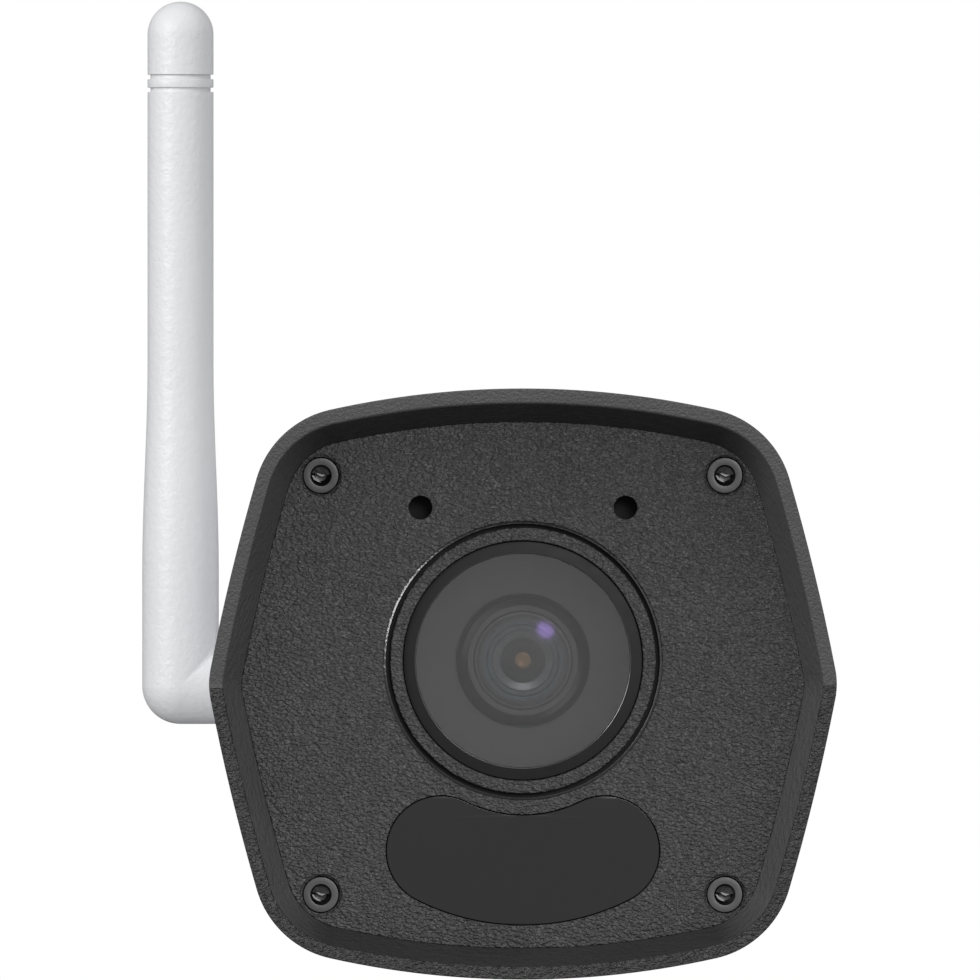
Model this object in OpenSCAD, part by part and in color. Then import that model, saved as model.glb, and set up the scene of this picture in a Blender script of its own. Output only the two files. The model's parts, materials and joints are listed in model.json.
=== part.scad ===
// Bullet security camera with a swivelling rod antenna and a three-axis wall bracket.
// Frame: +Z up, the camera looks along -Y, the wall is the plane Y = 0, the pan axis is X = 0, Z = 0.
// Sub-parts are drawn face on: x right, y up, z forward from the wall. face_on() turns that into the frame.

/* [Face outline] */
// Half of the face width, at the side points
half_w = 41; // [40:0.5:42]
// Radius that rounds each side point
point_r = 10; // [9.8:0.1:10.2]
// Radius of the four corners
corner_r = 12.9; // [12.6:0.1:13.2]
// Radius of the long side flanks
flank_r = 280; // [260:10:300]
// Slope of the flank where it leaves the side point, degrees
flank_start = 11; // [10.5:0.5:11.5]
// Slope of the flank where it meets the corner, degrees
flank_end = 16.25; // [16.15:0.05:16.35]
// Slope at which the corner runs into the top, degrees
top_start = 77.4; // [77.2:0.1:77.6]
// How far the outer outline sits above the camera axis
outline_lift = 0.2; // [0:0.1:0.3]

/* [Hood] */
// Wall to the lower rim of the hood
rim_s = 172; // [171:1:174]
// How far the top of the visor reaches past the lower rim
visor_reach = 9; // [4:1:12]
// Width of the front rim
rim_w = 1.8; // [1.6:0.1:2]
// Inset of the face plate from the outer outline
plate_inset = 4.2; // [4.1:0.1:4.4]
// Wall to the front of the face plate
plate_s = 165; // [164.8:0.1:165.2]
// Thickness of the face plate
plate_t = 3.5; // [3.4:0.1:3.6]

/* [Face details] */
// Height of the lens axis above the camera axis
lens_y = 3.2; // [2.8:0.2:3.6]
// Radius of the window's hole in the face plate
window_r = 15.7; // [15.5:0.1:15.8]
// Outer radius of the ring groove round the window
groove_r = 18; // [17.9:0.1:18.2]
// Width of the ring groove
groove_w = 0.65; // [0.4:0.05:0.8]
// Distance of the face screws from the middle, across
screw_x = 26.4; // [26.2:0.1:26.6]
// Distance of the face screws from the middle, up and down
screw_y = 27.4; // [27.2:0.1:27.5]
// Distance of the microphone and light sensor holes from the middle, across
hole_x = 13.4; // [13:0.2:14]
// Height of the microphone and light sensor holes
hole_y = 23.2; // [23:0.1:23.4]
// Radius of the microphone and light sensor holes
hole_r = 1.55; // [1.3:0.05:1.7]

/* [Infrared window] */
// Distance of each lobe's centre from the middle, across
lobe_x = 10.7; // [10.4:0.1:11]
// Height of the lobes' centres
lobe_y = -21.65; // [-21.8:0.05:-21.5]
// Radius of the lobes
lobe_r = 7.25; // [7:0.05:7.3]
// Height of the centre that the upper notch is drawn about
notch_y = -0.2; // [-1:0.2:1]
// Radius of the long lower edge
belly_r = 31; // [29:1:33]

/* [Housing] */
// Inset of the body from the hood's outline
body_inset = 2; // [1.8:0.1:2.1]
// Wall thickness of the body
body_wall = 2.8; // [2.6:0.1:3]
// Wall to the rear face of the rear cap
cap_s = 70; // [69.8:0.1:70.2]
// Wall to the joint between rear cap and body
body_rear_s = 84; // [83.8:0.1:84.2]
// Wall to the front edge of the body
body_front_s = 152; // [151.8:0.1:152.1]
// Rounding of the rear cap's edge
cap_round = 7.5; // [7:0.1:7.6]

/* [Bracket] */
// Radius of the wall base
base_r = 30; // [28:1:30]
// Thickness of the wall base
base_t = 7; // [6.8:0.1:7]
// Diameter of the circle that the wall screws lie on
wall_pcd = 44; // [42:1:45]
// Radius of the wall screw holes
wall_hole_r = 2.3; // [2:0.1:2.5]
// Wall to the tilt axis
tilt_s = 44; // [43.8:0.1:44.2]
// Radius of the tilt bolt
tilt_bolt_r = 3; // [2.5:0.1:3]

/* [Antenna] */
// Distance of the antenna's rod from the middle, across
rod_x = 45.1; // [44.9:0.1:45.4]
// Radius of the antenna's foot and of its stub
foot_r = 5.05; // [4.85:0.05:5.05]
// Radius of the antenna's rod
rod_r = 4.35; // [4:0.05:4.45]
// Length of the antenna from the swivel axis to its tip
rod_len = 90.2; // [85:0.2:93]
// Height of the antenna's swivel axis, against the camera axis
swivel_y = -0.3; // [-0.5:0.1:0]
// Wall to the antenna's swivel axis
swivel_s = 116; // [115:1:117]

/* [Hidden] */
$fn = 64;
eps = 0.1;            // overshoot of a cut past the face it opens
fit_gap = 0.05;       // radial clearance of a shaft in its bore
face_gap = 0.3;       // clearance between faces that move past each other
seat_gap = 0.15;      // clearance round a piece that lies in a recess
press_gap = 0.02;     // clearance of a glued or pressed shaft

// Colours
dark_grey = "#343434";
plain_white = "#eeeeee";
steel = "#9a9c9e";
board_green = "#1d5b3a";
black_rubber = "#1a1a1a";

// Stations along the camera, measured from the wall
plate_back_s = plate_s - plate_t;
ledge_back_s = plate_back_s - 3;
gasket_t = 1;
hood_rear_s = body_front_s + gasket_t;
hood_rear_inset = 1.4;
hood_wall_inset = 3.5;
ledge_inset = 8.8;
pillar_r = 4.4;
pillar_tip_r = 3.6;
pilot_r = 1.1;
pilot_t = 14;
screw_shank_r = 1.05;
screw_hole_r = 1.5;
hex = 6;

// Centres and radii of the arcs that one quarter of the face outline is made of
function unit(a) = [cos(a), sin(a)];
point_c = [half_w - point_r, 0];
flank_c = point_c + (point_r - flank_r) * unit(flank_start);
corner_c = flank_c + (flank_r - corner_r) * unit(flank_end);
corner_tip = corner_c + corner_r * unit(top_start);
top_r = corner_tip.x / cos(top_start);
top_c = corner_tip - top_r * unit(top_start);
half_h = top_c.y + top_r;

// Points along an arc, without its last one
function arc(c, r, a0, a1, n) = [for (i = [0 : n - 1]) c + r * unit(a0 + (a1 - a0) * i / n)];

// One quarter of the outline, from the side point up to the middle of the top
function quarter(inset) = concat(
    arc(point_c, point_r - inset, 0, flank_start, 2),
    arc(flank_c, flank_r - inset, flank_start, flank_end, 3),
    arc(corner_c, corner_r - inset, flank_end, top_start, 8),
    arc(top_c, top_r - inset, top_start, 90, 5),
    [[0, half_h - inset]]
);

// The whole outline, counter-clockwise, from its quarter and three mirror images of it
function outline(inset) = let (q = quarter(inset), n = len(q) - 1) concat(
    [for (i = [0 : n - 1]) [q[i].x, q[i].y]],
    [for (i = [n : -1 : 1]) [-q[i].x, q[i].y]],
    [for (i = [0 : n - 1]) [-q[i].x, -q[i].y]],
    [for (i = [n : -1 : 1]) [q[i].x, -q[i].y]]
);

// The outline as a ring of points at a station
function ring_at(inset, s, lift = 0) = [for (p = outline(inset)) [p.x, p.y + lift, s]];

// The outline on the rim, which leans forward above the side points
function rim_ring(inset, lift = 0) =
    [for (p = outline(inset)) [p.x, p.y + lift, rim_s + visor_reach * max(0, p.y) / half_h]];

// Quads between neighbouring rings; rings run from the first to the last and, if looped, back to the first
function side_faces(rings, looped) = let (n = len(rings[0]), m = len(rings)) [
    for (k = [0 : m - (looped ? 1 : 2)], i = [0 : n - 1])
        let (j = (i + 1) % n, a = k * n, b = (k + 1) % m * n)
        each [[a + i, b + i, b + j], [a + i, b + j, a + j]]
];

module face_on() {
    rotate([90, 0, 0]) children();
}

// A closed skin through rings that come back to where they start
module looped_loft(rings) {
    polyhedron(points = [for (r = rings) each r], faces = side_faces(rings, true), convexity = 6);
}

// A solid through rings, closed by its first and last one
module capped_loft(rings) {
    n = len(rings[0]);
    last = (len(rings) - 1) * n;
    ends = [[for (i = [0 : n - 1]) i], [for (i = [n - 1 : -1 : 0]) last + i]];
    faces = concat(side_faces(rings, false), ends);
    polyhedron(points = [for (r = rings) each r], faces = faces, convexity = 6);
}

// Prism of the face outline between two stations
module slab(inset, s0, s1) {
    translate([0, 0, s0]) linear_extrude(s1 - s0) polygon(outline(inset));
}

// Frame of the face outline, open through the middle
module band(inset_out, inset_in, s0, s1) {
    difference() {
        slab(inset_out, s0, s1);
        slab(inset_in, s0 - eps, s1 + eps);
    }
}

// Round bar along the camera, at [x, y]
module rod_forward(r, s0, s1, at = [0, 0]) {
    translate([at.x, at.y, s0]) cylinder(r = r, h = s1 - s0);
}

// Round bar across the camera, at [y, station]
module rod_across(r, x0, x1, at = [0, 0]) {
    translate([x0, at.x, at.y]) rotate([0, 90, 0]) cylinder(r = r, h = x1 - x0);
}

// Upright round bar, at [x, station]
module rod_up(r, y0, y1, at = [0, 0]) {
    translate([at.x, y0, at.y]) rotate([-90, 0, 0]) cylinder(r = r, h = y1 - y0);
}

// Ring along the camera, at [x, y]
module ring_forward(r_out, r_in, s0, s1, at = [0, 0]) {
    difference() {
        rod_forward(r_out, s0, s1, at);
        rod_forward(r_in, s0 - eps, s1 + eps, at);
    }
}

// Block between the given limits on each axis
module block(x, y, s) {
    translate([x[0], y[0], s[0]]) cube([x[1] - x[0], y[1] - y[0], s[1] - s[0]]);
}

// Copies of a child at the four screw positions of the face
module at_corners() {
    for (i = [-1, 1], j = [-1, 1])
        translate([i * screw_x, j * screw_y, 0]) children();
}

// Copies of a child at mirrored places left and right
module both_sides(x, y) {
    for (i = [-1, 1])
        translate([i * x, y, 0]) children();
}

// Screw that points to the wall, its head's top at the origin, with a hexagon socket
module screw(head_r, head_t, shank_r, length, socket_r) {
    socket_t = head_t * 0.7;
    difference() {
        union() {
            translate([0, 0, -head_t]) cylinder(r = head_r, h = head_t);
            translate([0, 0, -length]) cylinder(r = shank_r, h = length - head_t / 2);
        }
        translate([0, 0, -socket_t]) cylinder(r = socket_r, h = head_t, $fn = hex);
    }
}

/* Bracket */

module wall_hole_spots() {
    for (a = [90, 210, 330])
        rotate([0, 0, a]) translate([wall_pcd / 2, 0, 0]) children();
}

pan_spigot_r = 8;
pan_recess_r = 12;
pan_recess_t = 2.4;
hub_r = 15;
edge_round = 2.5;
base_rim_w = 4;
base_pocket_t = 3;
wall_boss_r = 5;
wall_seat_r = wall_hole_r + 2.1;
wall_seat_t = 1.5;
cable_notch_r = 4;

// Notch in the lower edge of the wall base, for the cable on its way into the wall
module cable_notch() {
    rod_forward(cable_notch_r, -eps, base_t + eps, [0, gland_y]);
    block([-cable_notch_r, cable_notch_r], [-base_r - 1, gland_y], [-eps, base_t + eps]);
}

module wall_base() {
    color(plain_white) face_on() difference() {
        rotate_extrude() union() {
            square([base_r - edge_round, base_t]);
            square([base_r, base_t - edge_round]);
            translate([base_r - edge_round, base_t - edge_round]) circle(r = edge_round);
        }
        difference() {
            ring_forward(base_r - base_rim_w, hub_r, -eps, base_pocket_t);
            wall_hole_spots() cylinder(r = wall_boss_r, h = base_t);
        }
        rod_forward(pan_spigot_r + fit_gap, -eps, base_t + eps);
        rod_forward(pan_recess_r, -eps, pan_recess_t);
        wall_hole_spots() translate([0, 0, -eps]) cylinder(r = wall_hole_r, h = base_t + 2 * eps);
        wall_hole_spots() translate([0, 0, base_t - wall_seat_t]) cylinder(r = wall_seat_r, h = base_t);
        cable_notch();
    }
}

foot_s = base_t + face_gap;
foot_r_out = 15;
foot_t = 4;
neck_r = 11;
fork_root_s = 25;
ear_r = 9.5;
eye_r = 9;
fork_half = 11;
eye_half = 6;
retainer_t = 1.4;
retainer_s = [pan_recess_t - eps - retainer_t, pan_recess_t - eps];
pan_bolt_r = 2.5;
pan_head_r = 4.5;
pan_head_s = eps;
pan_socket_r = 2;
pan_socket_t = 0.6;
pan_pilot_r = pan_bolt_r + fit_gap;
pan_bolt_end_s = 18;
pan_pilot_end_s = 20;

module pan_arm() {
    slot_half = eye_half + face_gap;
    slot_r = eye_r + 1;
    color(plain_white) face_on() difference() {
        union() {
            rod_forward(pan_spigot_r, pan_recess_t - eps, foot_s + eps);
            rod_forward(foot_r_out, foot_s, foot_s + foot_t);
            rod_forward(neck_r, foot_s, fork_root_s + foot_t);
            block([-fork_half, fork_half], [-ear_r, ear_r], [fork_root_s, tilt_s]);
            rod_across(ear_r, -fork_half, fork_half, [0, tilt_s]);
        }
        block([-slot_half, slot_half], [-slot_r - 2, slot_r + 2], [tilt_s - slot_r, tilt_s + slot_r + 1]);
        rod_across(tilt_bolt_r + fit_gap, -fork_half - eps, fork_half + eps, [0, tilt_s]);
        rod_forward(pan_pilot_r, 0, pan_pilot_end_s);
    }
}

module pan_retainer() {
    color(steel) face_on() ring_forward(pan_recess_r - 0.5, pan_pilot_r, retainer_s[0], retainer_s[1]);
}

module pan_bolt() {
    color(steel) face_on() difference() {
        union() {
            rod_forward(pan_bolt_r, retainer_s[0], pan_bolt_end_s);
            rod_forward(pan_head_r, pan_head_s, retainer_s[0]);
        }
        rod_forward(pan_socket_r, -eps, pan_socket_t, $fn = hex);
    }
}

bolt_head_t = 3;
bolt_head_r = tilt_bolt_r * 1.7;
bolt_socket_r = 1.6;
nut_r = tilt_bolt_r * 1.8;
nut_x = -fork_half - bolt_head_t;

module tilt_bolt() {
    color(steel) face_on() difference() {
        union() {
            rod_across(tilt_bolt_r, nut_x, fork_half + eps, [0, tilt_s]);
            rod_across(bolt_head_r, fork_half, fork_half + bolt_head_t, [0, tilt_s]);
        }
        rod_across(bolt_socket_r, fork_half + 1, fork_half + bolt_head_t + eps, [0, tilt_s], $fn = hex);
    }
}

module tilt_nut() {
    color(steel) face_on() difference() {
        rod_across(nut_r, nut_x, -fork_half, [0, tilt_s], $fn = hex);
        rod_across(tilt_bolt_r + fit_gap, nut_x - eps, -fork_half + eps, [0, tilt_s]);
    }
}

roll_spigot_r = 9;
boss_r = 16;
boss_s = 64;
flange_r = 14;
flange_t = 4;
cap_wall = 2.8;
clip_t = 1.7;
clip_groove_r = 7.8;
clip_gap = 0.1;
clip_s = cap_s + cap_wall + clip_gap;
clip_ear_x = 2.2;
clip_ear_y = 11;
clip_ear_r = 1.6;
clip_ear_hole_r = 0.7;
clip_r = 11.5;
clip_slit_half = 1;
link_arm_half = eye_r - 1;
spigot_end_t = 1.6;

module tilt_link() {
    flange_front_s = boss_s - face_gap;
    flange_rear_s = flange_front_s - flange_t;
    color(plain_white) face_on() difference() {
        union() {
            rod_across(eye_r, -eye_half, eye_half, [0, tilt_s]);
            block([-eye_half, eye_half], [-link_arm_half, link_arm_half], [tilt_s, flange_rear_s + 1]);
            rod_forward(flange_r, flange_rear_s, flange_front_s);
            rod_forward(roll_spigot_r, flange_front_s - eps, clip_s);
            rod_forward(clip_groove_r, clip_s - eps, clip_s + clip_t + eps);
            rod_forward(roll_spigot_r, clip_s + clip_t, clip_s + clip_t + spigot_end_t);
        }
        rod_across(tilt_bolt_r + fit_gap, -eye_half - eps, eye_half + eps, [0, tilt_s]);
    }
}

module roll_circlip() {
    s = [clip_s + clip_gap, clip_s + clip_t - clip_gap];
    color(steel) face_on() difference() {
        union() {
            rod_forward(clip_r, s[0], s[1]);
            both_sides(clip_ear_x, clip_ear_y) rod_forward(clip_ear_r, s[0], s[1]);
        }
        rod_forward(clip_groove_r + fit_gap, clip_s, clip_s + clip_t);
        block([-clip_slit_half, clip_slit_half], [0, clip_r + clip_ear_r], [clip_s, clip_s + clip_t]);
        both_sides(clip_ear_x, clip_ear_y) rod_forward(clip_ear_hole_r, clip_s, clip_s + clip_t);
    }
}

lock_s = 67;
lock_r = 2;
lock_top_y = boss_r - 0.6;
lock_socket_r = 1;
lock_socket_t = 2;

module roll_lock_screw() {
    color(steel) face_on() difference() {
        rod_up(lock_r, roll_spigot_r + face_gap, lock_top_y, [0, lock_s]);
        rod_up(lock_socket_r, lock_top_y - lock_socket_t, boss_r, [0, lock_s], $fn = hex);
    }
}

/* Housing */

gland_y = -22;
gland_boss_r = 6;
gland_nut_s = 62.5;
gland_nut_r = 5.6;
gland_thread_r = 4;
gland_seat_s = cap_s - 1.5;
gland_end_s = cap_s + cap_wall + 4;
cable_r = 2.7;
cap_screw_r = 2.1;
cap_screw_t = 2.3;
cap_screw_len = 24;
cap_seat_r = 2.4;
cap_seat_s = cap_s + 3;
cap_pillar_r = 4;
cap_pillar_s = cap_s + 4;
cap_pillar_tip_r = 2.8;
cap_pillar_tip_s = cap_s + 2;
cap_straight_s = cap_s + cap_round;
cap_inner_round = cap_round - cap_wall;
rear_gasket_t = 0.8;
shell_rear_s = body_rear_s + rear_gasket_t;
gasket_in = 0.5;
body_in = body_inset + body_wall;

// Rings of a dome that narrows towards the wall
function dome_rings(inset, r, s_front) = concat(
    [for (a = [90 : -15 : 0]) ring_at(inset + r * (1 - cos(a)), cap_straight_s - r * sin(a))],
    [ring_at(inset, s_front)]
);

module rear_cap() {
    color(plain_white) face_on() difference() {
        union() {
            difference() {
                capped_loft(dome_rings(body_inset, cap_round, body_rear_s));
                capped_loft(dome_rings(body_in, cap_inner_round, body_rear_s + eps));
            }
            at_corners() rod_forward(cap_pillar_r, cap_pillar_s, body_rear_s);
            at_corners() rod_forward(cap_pillar_tip_r, cap_pillar_tip_s, cap_pillar_s + 1);
            rod_forward(boss_r, boss_s, cap_s + cap_wall);
            rod_forward(gland_boss_r, gland_seat_s, gland_end_s, [0, gland_y]);
        }
        rod_forward(roll_spigot_r + fit_gap, boss_s - eps, cap_s + cap_wall + eps);
        rod_up(lock_r + fit_gap, 0, boss_r + eps, [0, lock_s]);
        rod_forward(gland_thread_r + fit_gap, gland_seat_s - eps, gland_end_s + eps, [0, gland_y]);
        at_corners() rod_forward(cap_seat_r, cap_s - eps, cap_seat_s);
        at_corners() rod_forward(screw_hole_r, cap_s, body_rear_s + eps);
    }
}

module rear_gasket() {
    color(black_rubber) face_on() difference() {
        band(body_inset + gasket_in, body_in - gasket_in, body_rear_s, shell_rear_s);
        at_corners() rod_forward(screw_hole_r, body_rear_s - eps, shell_rear_s + eps);
    }
}

module rear_screws() {
    color(steel) face_on() at_corners() translate([0, 0, cap_seat_s - cap_screw_t])
        mirror([0, 0, 1]) screw(cap_screw_r, cap_screw_t, screw_shank_r, cap_screw_len, 1);
}
swivel_r = 3;
swivel_boss_r = 5.4;
swivel_boss_t = 6;
swivel_face_x = rod_x - foot_r - 0.4;
swivel_at = [swivel_y, swivel_s];
oring_r = 4;
oring_x = [-swivel_face_x + 1.6, -swivel_face_x + 3.4];
floor_y = -half_h + body_in;
board_y = -26;
board_t = 1.6;
board_bottom = board_y - board_t / 2;
board_top = board_y + board_t / 2;
board_half = 20.5;
board_s = [90, 146];
board_pilot_r = 0.9;
board_pilot_t = 5;
standoff_x = 17.5;
standoff_s = [94, 142];
standoff_r = 2.6;
hatch_half = 17;
hatch_s = [100, 132];
hatch_floor_y = -33.4;
hatch_frame_w = 2;
hatch_sink = 0.6;
hatch_screw_s = [103.5, 128.5];
hatch_boss_r = 3;
hatch_boss_t = 5.5;
hatch_pilot_t = 5;
hatch_open_x = 12;
hatch_open_s = [108.5, 123.5];

module board_spots() {
    for (i = [-1, 1], s = standoff_s)
        translate([i * standoff_x, 0, s]) rotate([-90, 0, 0]) children();
}

module hatch_screw_spots() {
    for (s = hatch_screw_s)
        translate([0, 0, s]) rotate([-90, 0, 0]) children();
}

module body_shell() {
    outer_x = hatch_half + hatch_frame_w;
    outer_s = [hatch_s[0] - hatch_frame_w, hatch_s[1] + hatch_frame_w];
    color(plain_white) face_on() difference() {
        union() {
            band(body_inset, body_in, shell_rear_s, body_front_s);
            at_corners() rod_forward(pillar_r, shell_rear_s, body_front_s);
            at_corners() rod_forward(pillar_tip_r, body_front_s - 1, ledge_back_s);
            rod_across(swivel_boss_r, -swivel_face_x, -swivel_face_x + swivel_boss_t, swivel_at);
            block([-outer_x, outer_x], [floor_y - hatch_sink, floor_y + hatch_frame_w], outer_s);
            board_spots() translate([0, 0, floor_y]) cylinder(r = standoff_r, h = board_bottom - floor_y);
            hatch_screw_spots() translate([0, 0, floor_y]) cylinder(r = hatch_boss_r, h = hatch_boss_t);
        }
        at_corners() rod_forward(pilot_r, shell_rear_s - eps, shell_rear_s + pilot_t);
        at_corners() rod_forward(pilot_r, ledge_back_s - pilot_t, ledge_back_s + eps);
        rod_across(swivel_r + fit_gap, -swivel_face_x - eps, -swivel_face_x + swivel_boss_t + 1, swivel_at);
        rod_across(oring_r, oring_x[0], oring_x[1], swivel_at);
        block([-hatch_half, hatch_half], [-half_h - 1, hatch_floor_y], hatch_s);
        block([-hatch_open_x, hatch_open_x], [-half_h, floor_y + hatch_frame_w + 1], hatch_open_s);
        board_spots() translate([0, 0, board_bottom - board_pilot_t])
            cylinder(r = board_pilot_r, h = board_pilot_t + 1);
        hatch_screw_spots() translate([0, 0, hatch_floor_y - eps]) cylinder(r = pilot_r, h = hatch_pilot_t);
    }
}

module front_gasket() {
    color(black_rubber) face_on()
        band(body_inset + face_gap, hood_wall_inset - seat_gap, body_front_s, hood_rear_s);
}

module front_hood() {
    rings = [
        ring_at(hood_rear_inset, hood_rear_s),
        rim_ring(0, outline_lift),
        rim_ring(rim_w),
        ring_at(plate_inset, plate_s),
        ring_at(plate_inset, plate_back_s),
        ring_at(ledge_inset, plate_back_s),
        ring_at(ledge_inset, ledge_back_s),
        ring_at(hood_wall_inset, ledge_back_s),
        ring_at(hood_wall_inset, hood_rear_s)
    ];
    color(dark_grey) face_on() difference() {
        looped_loft(rings);
        at_corners() rod_forward(screw_hole_r, ledge_back_s - 1, plate_s);
    }
}

/* Face */

seat_r = 2.75;
seat_t = 2.2;
head_r = 2.3;
head_t = 1.8;
head_sink = 0.4;
face_screw_len = 15;
face_socket_r = 1.35;
lens_at = [0, lens_y];
window_ledge_r = 14;
window_ledge_t = 0.9;
groove_t = 0.8;
post_x = 16;
post_y = 12;
post_r = 2.4;
post_pilot_t = 8;
sensor_board_s = 133.3;
sensor_board_t = 1.6;
sensor_front_s = sensor_board_s + sensor_board_t;
ir_post = [20.2, -18];
ir_post_r = 1.6;
ir_board_s = 156.5;
ir_board_t = 1.2;
ir_front_s = ir_board_s + ir_board_t;
kidney_ledge = 1.2;
kidney_seat_s = plate_back_s + 1.3;
kidney_gasket_t = 0.4;

// Points of the infrared window: belly, right lobe, notch below the lens, left lobe
function kidney(inset) = let (
    lobe_c = [lobe_x, lobe_y],
    notch_c = [0, notch_y],
    belly_c = [0, lobe_y + sqrt(pow(belly_r - lobe_r, 2) - lobe_x * lobe_x)],
    belly_a = atan2(lobe_c.y - belly_c.y, lobe_c.x),
    notch_a = atan2(lobe_c.y - notch_c.y, lobe_c.x),
    notch_r = norm(lobe_c - notch_c) - lobe_r
) concat(
    arc(belly_c, belly_r - inset, -180 - belly_a, belly_a, 16),
    arc(lobe_c, lobe_r - inset, belly_a, 180 + notch_a, 16),
    arc(notch_c, notch_r + inset, notch_a, -180 - notch_a, 12),
    arc([-lobe_x, lobe_y], lobe_r - inset, -notch_a, 180 - belly_a, 16)
);

module kidney_slab(inset, s0, s1) {
    translate([0, 0, s0]) linear_extrude(s1 - s0) polygon(kidney(inset));
}

module post_spots() {
    for (i = [-1, 1], j = [-1, 1])
        translate([i * post_x, lens_y + j * post_y, 0]) children();
}

module face_plate() {
    color(dark_grey) face_on() difference() {
        union() {
            slab(plate_inset + seat_gap, plate_back_s, plate_s);
            post_spots() rod_forward(post_r, sensor_front_s, plate_back_s + eps);
            both_sides(ir_post.x, ir_post.y) rod_forward(ir_post_r, ir_front_s, plate_back_s + eps);
        }
        rod_forward(window_r, plate_back_s + window_ledge_t, plate_s + eps, lens_at);
        rod_forward(window_ledge_r, plate_back_s - eps, plate_s, lens_at);
        ring_forward(groove_r, groove_r - groove_w, plate_s - groove_t, plate_s + 1, lens_at);
        kidney_slab(0, kidney_seat_s, plate_s + eps);
        kidney_slab(kidney_ledge, plate_back_s - eps, plate_s);
        both_sides(hole_x, hole_y) rod_forward(hole_r, plate_back_s - eps, plate_s + eps);
        at_corners() rod_forward(seat_r, plate_s - seat_t, plate_s + eps);
        at_corners() rod_forward(screw_hole_r, plate_back_s - eps, plate_s);
        post_spots() rod_forward(board_pilot_r, sensor_front_s - eps, sensor_front_s + post_pilot_t);
    }
}

module face_screws() {
    color("#4c4c4c") face_on() at_corners() translate([0, 0, plate_s - head_sink])
        screw(head_r, head_t, screw_shank_r, face_screw_len, face_socket_r);
}

glass_t = 1.5;
window_gasket_t = 0.5;
glass_back_s = plate_back_s + window_ledge_t + window_gasket_t;

module window_glass() {
    color([0.6, 0.65, 0.7, 0.35]) face_on()
        rod_forward(window_r - seat_gap, glass_back_s, glass_back_s + glass_t, lens_at);
}

module window_gasket() {
    color(black_rubber) face_on()
        ring_forward(window_r - seat_gap, window_ledge_r, glass_back_s - window_gasket_t, glass_back_s,
            lens_at);
}

baffle_r = 15;
baffle_wall = 0.8;
baffle_floor_s = 156.2;
baffle_hole_r = 8.8;

module lens_baffle() {
    color(dark_grey) face_on() union() {
        ring_forward(baffle_r, baffle_r - baffle_wall, baffle_floor_s, plate_back_s, lens_at);
        ring_forward(baffle_r - baffle_wall / 2, baffle_hole_r, baffle_floor_s, baffle_floor_s + baffle_wall,
            lens_at);
    }
}

// Optics: a screw-in lens on the lens axis
barrel_r = 6;
barrel_head_r = 7.2;
barrel_s = [145, 160];
head_s = 155;
barrel_bore_r = 5.4;
barrel_floor_t = 1;
rear_opening_r = 3.5;
ring_seat_r = 6.4;
ring_seat_t = 1;
ring_bore_r = 5.1;
ring_sink = 0.1;

module lens_barrel() {
    color(black_rubber) face_on() difference() {
        union() {
            rod_forward(barrel_r, barrel_s[0], head_s + eps, lens_at);
            rod_forward(barrel_head_r, head_s, barrel_s[1], lens_at);
        }
        rod_forward(barrel_bore_r, barrel_s[0] + barrel_floor_t, barrel_s[1] + eps, lens_at);
        rod_forward(ring_seat_r + fit_gap, barrel_s[1] - ring_seat_t, barrel_s[1] + eps, lens_at);
        rod_forward(rear_opening_r, barrel_s[0] - eps, head_s, lens_at);
    }
}

module lens_retaining_ring() {
    color("#3c3c3c") face_on()
        ring_forward(ring_seat_r, ring_bore_r, barrel_s[1] - ring_seat_t, barrel_s[1] - ring_sink, lens_at);
}

// Round lens element with a bulged front, its rear face at a station
module element(edge_t, bulge, s) {
    ball_r = (element_r * element_r + bulge * bulge) / (2 * bulge);
    translate([0, lens_y, s]) intersection() {
        cylinder(r = element_r, h = edge_t + bulge + eps);
        translate([0, 0, edge_t + bulge - ball_r]) sphere(r = ball_r, $fn = lens_facets);
    }
}

element_r = barrel_bore_r - fit_gap;
lens_facets = 200;
// Edge thickness, bulge and station of each lens element
front_glass = [1.4, 0.9, 157.4];
inner_glass = [[1, 0.6, 154.9], [1, 0.8, 150], [1, 0.8, 147.2]];
stop_s = [152.6, 153.4];
stop_r = 2;
glass_blue = [0.55, 0.6, 0.75, 0.4];

module front_element() {
    color(glass_blue) face_on() element(front_glass[0], front_glass[1], front_glass[2]);
}

module inner_elements() {
    color(glass_blue) face_on()
        for (g = inner_glass)
            element(g[0], g[1], g[2]);
}

module aperture_stop() {
    color(black_rubber) face_on() ring_forward(element_r, stop_r, stop_s[0], stop_s[1], lens_at);
}

holder_s = [sensor_front_s, 149];
holder_block_s = 143;
holder_tube_r = 8;
holder_bore_s = 143.5;
holder_half = [13.5, 8.5];
cavity_r = 5;
cavity_half_y = 4;
guide_half_x = 12.9;
sensor_half = [4.2, 3.4];
sensor_t = 1.2;
slot_s = [138.6, 140.4];
slider_half = [8.4, 4.4];
slider_travel = 8;
slider_start_x = 4;

module lens_holder() {
    guide_half_y = slider_half.y + face_gap;
    color(black_rubber) face_on() translate([0, lens_y, 0]) difference() {
        union() {
            block([-holder_half.x, holder_half.x], [-holder_half.y, holder_half.y],
                [holder_s[0], holder_block_s]);
            rod_forward(holder_tube_r, holder_block_s - 1, holder_s[1]);
        }
        rod_forward(barrel_r + fit_gap, holder_bore_s, holder_s[1] + eps);
        rod_forward(cavity_r, holder_s[0] - eps, holder_bore_s + 0.5);
        block([-guide_half_x, guide_half_x], [-guide_half_y, guide_half_y], slot_s);
        block([-cavity_r, cavity_r], [-cavity_half_y, cavity_half_y], [holder_s[0] - eps, holder_s[0] + 2]);
    }
}

filter_half = 3.3;
filter_sink = 0.6;
filter_spots = [0, slider_travel];

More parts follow.
